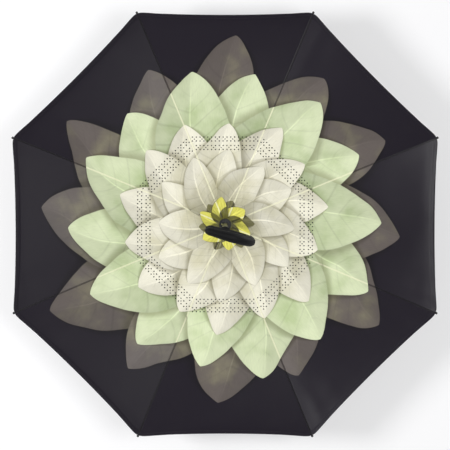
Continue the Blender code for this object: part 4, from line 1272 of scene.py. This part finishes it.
def finished_node(node, finish, slot, bevel=0.0, sharp=32):
    """A merged, smoothly shaded copy of a hard part, which stands for it."""
    source = frame["nodes"][node]
    mesh = source.data.copy()
    work = bmesh.new()
    work.from_mesh(mesh)
    bmesh.ops.remove_doubles(work, verts=work.verts, dist=MERGE_DISTANCE)
    bmesh.ops.dissolve_limit(work, angle_limit=radians(0.6), verts=work.verts, edges=work.edges)
    work.to_mesh(mesh)
    work.free()
    piece = placed(node + "_finished", mesh, finish, source["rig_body"], slot, sharp)
    if bevel:
        change = piece.modifiers.new("edges", "BEVEL")
        change.width = bevel
        change.segments = 2
        change.limit_method = "ANGLE"
        change.angle_limit = radians(40)
        change.harden_normals = True
    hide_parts(node)
    return piece


def make_shaft():
    finished_node("shaft", "painted_steel", "painted_steel")
    finished_node("catch_pin", "bright_steel", "steel")
    finished_node("top_catch", "bright_steel", "steel", 0.00015)


def make_hubs():
    for node in ("runner", "top_notch", "canopy_washer"):
        finished_node(node, "moulded_plastic", "plastic", 0.0002)
    for node in ("runner_wire", "notch_wire"):
        finished_node(node, "bright_steel", "steel", sharp=80)


def make_ribs():
    for number in range(1, RIB_COUNT + 1):
        finished_node(f"rib_channel_{number}", "painted_steel", "painted_steel", 0.00012)
        finished_node(f"strut_{number}", "painted_steel", "painted_steel", 0.00015)
        finished_node(f"rib_rod_{number}", "fibreglass", "fibreglass", sharp=50)
        finished_node(f"tip_cap_{number}", "moulded_plastic", "plastic", sharp=40)


def make_crown():
    """The domed cap over the shaft's top, with a bead round its foot."""
    low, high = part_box("crown_cap")
    bore = SHAFT_RADIUS + CLEARANCE
    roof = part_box("shaft")[1].z + CLEARANCE
    bead_radius = high.x
    dome_radius = bead_radius - 0.0004
    rim = low.z + 0.0028
    flat_radius = 0.0075
    steps = 16
    dome = [(bead_radius, low.z), (bead_radius, rim - 0.0006)]
    dome += [(dome_radius, rim - 0.0002), (dome_radius, rim)]
    for i in range(1, steps + 1):
        turn = pi / 2 * i / steps
        out = flat_radius + (dome_radius - flat_radius) * cos(turn)
        dome.append((out, rim + (high.z - rim) * sin(turn)))
    dished = high.z - 0.0003
    dome += [(0.0066, high.z), (0.0062, dished), (0, dished)]
    mesh = turned_shape([(0, roof), (bore, roof), (bore, low.z), *dome], 96)
    piece = placed("crown_cap_finished", mesh, "moulded_plastic", "root", "plastic", 50)
    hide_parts("crown_cap")


def make_collar():
    """The tapered ring between the handle and the shaft, with a bead and two fine lines."""
    low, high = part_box("handle_collar")
    foot_radius = high.x
    bore = SHAFT_RADIUS + CLEARANCE
    top_radius = 0.0084
    rise = 0.0007
    bead = low.z + 0.003
    line_depth = 0.0003
    line_steps = (18, 19, 24, 25)
    shoulder = foot_radius - rise
    corners = [(bore, low.z), (foot_radius, low.z), (foot_radius, bead), (shoulder, bead + rise)]
    outline = rounded(corners, 0.0008)
    steps = 40
    for i in range(1, steps + 1):
        share = i / steps
        z = bead + rise + (high.z - bead - 2 * rise) * share
        out = shoulder + (top_radius - shoulder) * sin(pi / 2 * share)
        outline.append((out - (line_depth if i in line_steps else 0), z))
    outline += [(top_radius - rise / 3, high.z - rise / 3), (top_radius - rise, high.z), (bore, high.z)]
    mesh = turned_shape(outline, 96)
    piece = placed("handle_collar_finished", mesh, "moulded_plastic", "root", "plastic", 50)
    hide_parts("handle_collar")


def handle_path(sizes, steps):
    """The C's middle line as (x, z, direction), from its upper end round its back to its lower end."""
    half = sizes.depth / 2
    top = sizes.height / 2 - half
    back = sizes.back_reach - half
    bend = top - sizes.back_straight / 2
    arm = half - sizes.mouth_reach + sizes.curl_length
    curl_radius = sizes.curl_length / sizes.curl
    upper = []
    for i in range(steps, 0, -1):
        turn = sizes.curl * i / steps
        upper.append((arm - curl_radius * sin(turn), top - curl_radius * (1 - cos(turn)), turn))
    for i in range(1, steps + 1):
        upper.append((arm + (back - bend - arm) * i / steps, top, 0.0))
    for i in range(1, 3 * steps + 1):
        turn = pi / 2 * i / (3 * steps)
        upper.append((back - bend + bend * sin(turn), top - bend + bend * cos(turn), -turn))
    return upper + [(x, -z, -pi - turn) for x, z, turn in reversed(upper)]


def handle_mesh(sizes, steps=12, sides=56, roundness=2.1):
    """The C as a rounded bar with full ends, a parting line round it and a line near each end."""
    path = handle_path(sizes, steps)
    half_depth = sizes.depth / 2
    runs = [0.0]
    for before, here in zip(path, path[1:]):
        runs.append(runs[-1] + hypot(here[0] - before[0], here[1] - before[1]))
    total = runs[-1]
    rings = []
    for (x, z, turn), at in zip(path, runs):
        near = min(min(at, total - at) / (2 * sizes.curl_length), 1)
        width = (sizes.end_width + (sizes.width - sizes.end_width) * near) / 2
        rings.append([x, z, turn, width, half_depth])
    ends = []
    end_steps = 15
    end_line = 4
    for ring, outward in ((rings[0], -1), (rings[-1], 1)):
        x, z, turn, width, depth = ring
        made = []
        for i in range(1, end_steps):
            lean = pi / 2 * i / end_steps
            step = outward * half_depth * sin(lean)
            scale = cos(lean) ** 0.9
            made.append([x + step * cos(turn), z + step * sin(turn), turn, width * scale, depth * scale])
        ends.append(made)
    for place in (end_line, -1 - end_line):
        rings[place][3] -= sizes.groove
        rings[place][4] -= sizes.groove
    shaped = []
    for x, z, turn, width, depth in ends[0][::-1] + rings + ends[1]:
        normal = Vector((-sin(turn), 0, cos(turn)))
        ring = []
        for i in range(sides):
            bearing = 2 * pi * i / sides
            c, s = cos(bearing), sin(bearing)
            groove = sizes.groove if abs(c) < 0.02 and depth > half_depth * 0.4 else 0
            y = abs(c) ** (2 / roundness) * (1 if c >= 0 else -1) * width
            n = abs(s) ** (2 / roundness) * (1 if s >= 0 else -1) * (depth - groove)
            ring.append(Vector((x, y, z)) + normal * n)
        shaped.append(ring)
    return swept(shaped)


def make_handle():
    """The C handle with the boss that the collar stands on and the socket for the shaft."""
    sizes = settings("handle")
    crest = sizes.height / 2
    top = crest + sizes.boss_rise
    middle = crest - sizes.depth / 2
    radius = sizes.boss_radius
    flare = 0.0016
    edge = 0.0005
    boss = [(0, middle), (radius + flare, middle), (radius + flare, crest - flare), (radius, crest + 0.0004)]
    boss += [(radius, top - edge), (radius - edge, top), (0, top)]
    body = combined(handle_mesh(sizes), turned_shape(boss, 72), "UNION")
    bore = SHAFT_RADIUS + CLEARANCE
    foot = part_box("shaft")[0].z - CLEARANCE
    above = top + 0.004
    socket = turned_shape([(0, foot), (bore, foot), (bore, above), (0, above)], 48)
    mesh = combined(body, socket, "DIFFERENCE")
    mesh.transform(Matrix.Rotation(sizes.turn, 4, "Z"))
    piece = placed("handle_body_finished", mesh, "soft_rubber", "root", "rubber", 38)
    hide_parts("handle_body")


# Stage

# Name, place, what it points at, size and watts of each light
SOFT_LIGHTS = (
    ("left_softbox", (-2.05, -0.15, -1.75), (0, 0, 0.4), 0.9, 56),
    ("right_softbox", (0.95, 0.0, -2.1), (0, 0, 0.4), 1.0, 24),
    ("top_softbox", (-1.3, -1.5, 2.6), (0, 0, 0.4), 2.2, 70),
    ("side_softbox", (2.2, -1.2, 1.0), (0, 0, 0.2), 1.4, 24),
)
# The world's light on the object
WORLD_LIGHT = 0.34
# Half a side of the floor and of the backdrop
STAGE_HALF = 12


def emptied(block):
    """The node tree of a material or a world, without its first nodes."""
    block.use_nodes = True
    block.node_tree.nodes.clear()
    return Nodes(block.node_tree)


def stage_material(name, tint, strength):
    """A plain surface that only shows from its front, and that lets every light through."""
    made = bpy.data.materials.new(name)
    nodes = emptied(made)
    paint = nodes.add("ShaderNodeBsdfDiffuse", {"Color": opaque(tint)}).outputs[0]
    glow = nodes.add("ShaderNodeEmission", {"Color": (1, 1, 1, 1), "Strength": strength}).outputs[0]
    paint = nodes.add("ShaderNodeAddShader", {0: paint, 1: glow}).outputs[0]
    clear = nodes.add("ShaderNodeBsdfTransparent").outputs[0]
    rays = nodes.add("ShaderNodeLightPath").outputs
    seen = nodes.math("MAXIMUM", rays["Is Camera Ray"], rays["Is Glossy Ray"])
    front = nodes.math("SUBTRACT", 1.0, nodes.add("ShaderNodeNewGeometry").outputs["Backfacing"])
    share = nodes.math("MULTIPLY", seen, front)
    mixed = nodes.add("ShaderNodeMixShader", {0: share, 1: clear, 2: paint}).outputs[0]
    nodes.add("ShaderNodeOutputMaterial", {0: mixed})
    return made


def stage_plane(name, height, faces_up, material):
    half = STAGE_HALF
    corners = [(-half, -half, height), (half, -half, height), (half, half, height), (-half, half, height)]
    mesh = mesh_from(name, corners, [[0, 1, 2, 3] if faces_up else [3, 2, 1, 0]])
    mesh.materials.append(material)
    obj = linked(name, mesh)


def soft_light(name, place, target, size, power):
    data = bpy.data.lights.new(name, "AREA")
    data.shape = "DISK"
    data.size = size
    data.energy = power
    obj = linked(name, data)
    obj.location = place
    obj.rotation_euler = (Vector(target) - Vector(place)).to_track_quat("-Z", "Y").to_euler()
    obj.visible_camera = False


def make_stage():
    """The floor under the handle, the backdrop over the crown, the lights, the world and the camera."""
    stage = settings("stage")
    floor = stage_material("floor", (0.60, 0.60, 0.59), 0.46)
    stage_plane("floor", HANDLE_FOOT - 0.001, True, floor)
    backdrop = stage_material("backdrop", (0.62, 0.62, 0.63), 0.40)
    stage_plane("backdrop", CROWN_TOP + stage.backdrop_gap, False, backdrop)
    for light in SOFT_LIGHTS:
        soft_light(*light)
    world = bpy.data.worlds.new("studio")
    bpy.context.scene.world = world
    nodes = emptied(world)
    rays = nodes.add("ShaderNodeLightPath").outputs
    strength = nodes.span(rays["Is Camera Ray"], 0.0, 1.0, WORLD_LIGHT, 1.0)
    glow = nodes.add("ShaderNodeBackground", {"Color": (1, 1, 1, 1), "Strength": strength}).outputs[0]
    nodes.add("ShaderNodeOutputWorld", {0: glow})
    bpy.context.scene.view_settings.view_transform = "Standard"
    make_camera(stage)


def make_camera(stage):
    """A camera under the umbrella, turned so that the picture's top is at -Y and its right at +X."""
    data = bpy.data.cameras.new("camera")
    data.sensor_width = 36
    data.lens = stage.focal_pixels / IMAGE_SIZE * data.sensor_width
    data.clip_start = 0.05
    camera = linked("camera", data)
    look = (Vector(stage.target) - Vector(stage.camera)).normalized()
    right = look.cross(Vector((0, -1, 0))).normalized()
    up = right.cross(look)
    camera.matrix_world = Matrix.Translation(stage.camera) @ Matrix((right, up, -look)).transposed().to_4x4()
    bpy.context.scene.camera = camera


# The add-on


GROUPS = {
    "cloth": UmbrellaCloth,
    "stitches": UmbrellaStitches,
    "vents": UmbrellaVents,
    "colours": UmbrellaColours,
    "handle": UmbrellaHandle,
    "stage": UmbrellaStage,
}


class UMBRELLA_OT_shaft(bpy.types.Operator):
    """Finish the shaft and its catch"""

    bl_idname = "umbrella.shaft"
    bl_label = "Shaft and catch"

    def execute(self, context):
        make_shaft()
        return {"FINISHED"}


class UMBRELLA_OT_hubs(bpy.types.Operator):
    """Finish the runner, the notch, the washer and their wires"""

    bl_idname = "umbrella.hubs"
    bl_label = "Hubs and wires"

    def execute(self, context):
        make_hubs()
        return {"FINISHED"}


class UMBRELLA_OT_ribs(bpy.types.Operator):
    """Finish the ribs, struts, rods and tip caps"""

    bl_idname = "umbrella.ribs"
    bl_label = "Ribs and struts"

    def execute(self, context):
        make_ribs()
        return {"FINISHED"}


class UMBRELLA_OT_crown(bpy.types.Operator):
    """Make the crown cap"""

    bl_idname = "umbrella.crown"
    bl_label = "Crown cap"

    def execute(self, context):
        make_crown()
        return {"FINISHED"}


class UMBRELLA_OT_collar(bpy.types.Operator):
    """Make the handle's collar"""

    bl_idname = "umbrella.collar"
    bl_label = "Collar"

    def execute(self, context):
        make_collar()
        return {"FINISHED"}


class UMBRELLA_OT_handle(bpy.types.Operator):
    """Make the C handle"""

    bl_idname = "umbrella.handle"
    bl_label = "Handle"

    def execute(self, context):
        make_handle()
        return {"FINISHED"}


class UMBRELLA_OT_lower_canopy(bpy.types.Operator):
    """Make the printed layer"""

    bl_idname = "umbrella.lower_canopy"
    bl_label = "Printed canopy"

    def execute(self, context):
        make_layer(0)
        make_hub_cloth()
        return {"FINISHED"}


class UMBRELLA_OT_upper_canopy(bpy.types.Operator):
    """Make the black layer"""

    bl_idname = "umbrella.upper_canopy"
    bl_label = "Black canopy"

    def execute(self, context):
        make_layer(1)
        return {"FINISHED"}


class UMBRELLA_OT_seams(bpy.types.Operator):
    """Make the seams and their stitches"""

    bl_idname = "umbrella.seams"
    bl_label = "Seams"

    def execute(self, context):
        make_seams()
        return {"FINISHED"}


class UMBRELLA_OT_hem_stitches(bpy.types.Operator):
    """Make the stitches of the hems"""

    bl_idname = "umbrella.hem_stitches"
    bl_label = "Hem stitches"

    def execute(self, context):
        make_hem_stitches()
        return {"FINISHED"}


class UMBRELLA_OT_stage(bpy.types.Operator):
    """Make the floor, the backdrop, the lights and the camera"""

    bl_idname = "umbrella.stage"
    bl_label = "Stage"

    def execute(self, context):
        make_stage()
        return {"FINISHED"}


OPERATORS = [
    UMBRELLA_OT_shaft,
    UMBRELLA_OT_hubs,
    UMBRELLA_OT_ribs,
    UMBRELLA_OT_crown,
    UMBRELLA_OT_collar,
    UMBRELLA_OT_handle,
    UMBRELLA_OT_lower_canopy,
    UMBRELLA_OT_upper_canopy,
    UMBRELLA_OT_seams,
    UMBRELLA_OT_hem_stitches,
    UMBRELLA_OT_stage,
]


class UMBRELLA_PT_build(bpy.types.Panel):
    """Lists the buttons and the sizes."""

    bl_label = "Umbrella"
    bl_space_type = "VIEW_3D"
    bl_region_type = "UI"
    bl_category = "Umbrella"

    def draw(self, context):
        for made in OPERATORS:
            self.layout.operator(made.bl_idname)
        for name, group in GROUPS.items():
            box = self.layout.box()
            box.label(text=name.capitalize())
            for key in group.__annotations__:
                box.prop(settings(name), key)


def register():
    for made in [*GROUPS.values(), *OPERATORS, UMBRELLA_PT_build]:
        bpy.utils.register_class(made)
    for name, group in GROUPS.items():
        setattr(bpy.types.Scene, "umbrella_" + name, bpy.props.PointerProperty(type=group))


def unregister():
    for name in GROUPS:
        delattr(bpy.types.Scene, "umbrella_" + name)
    for made in [UMBRELLA_PT_build, *OPERATORS[::-1], *GROUPS.values()]:
        bpy.utils.unregister_class(made)


def main():
    """Builds every piece and the stage."""
    register()
    for made in OPERATORS:
        space, name = made.bl_idname.split(".")
        getattr(getattr(bpy.ops, space), name)()


if __name__ == "__main__":
    main()
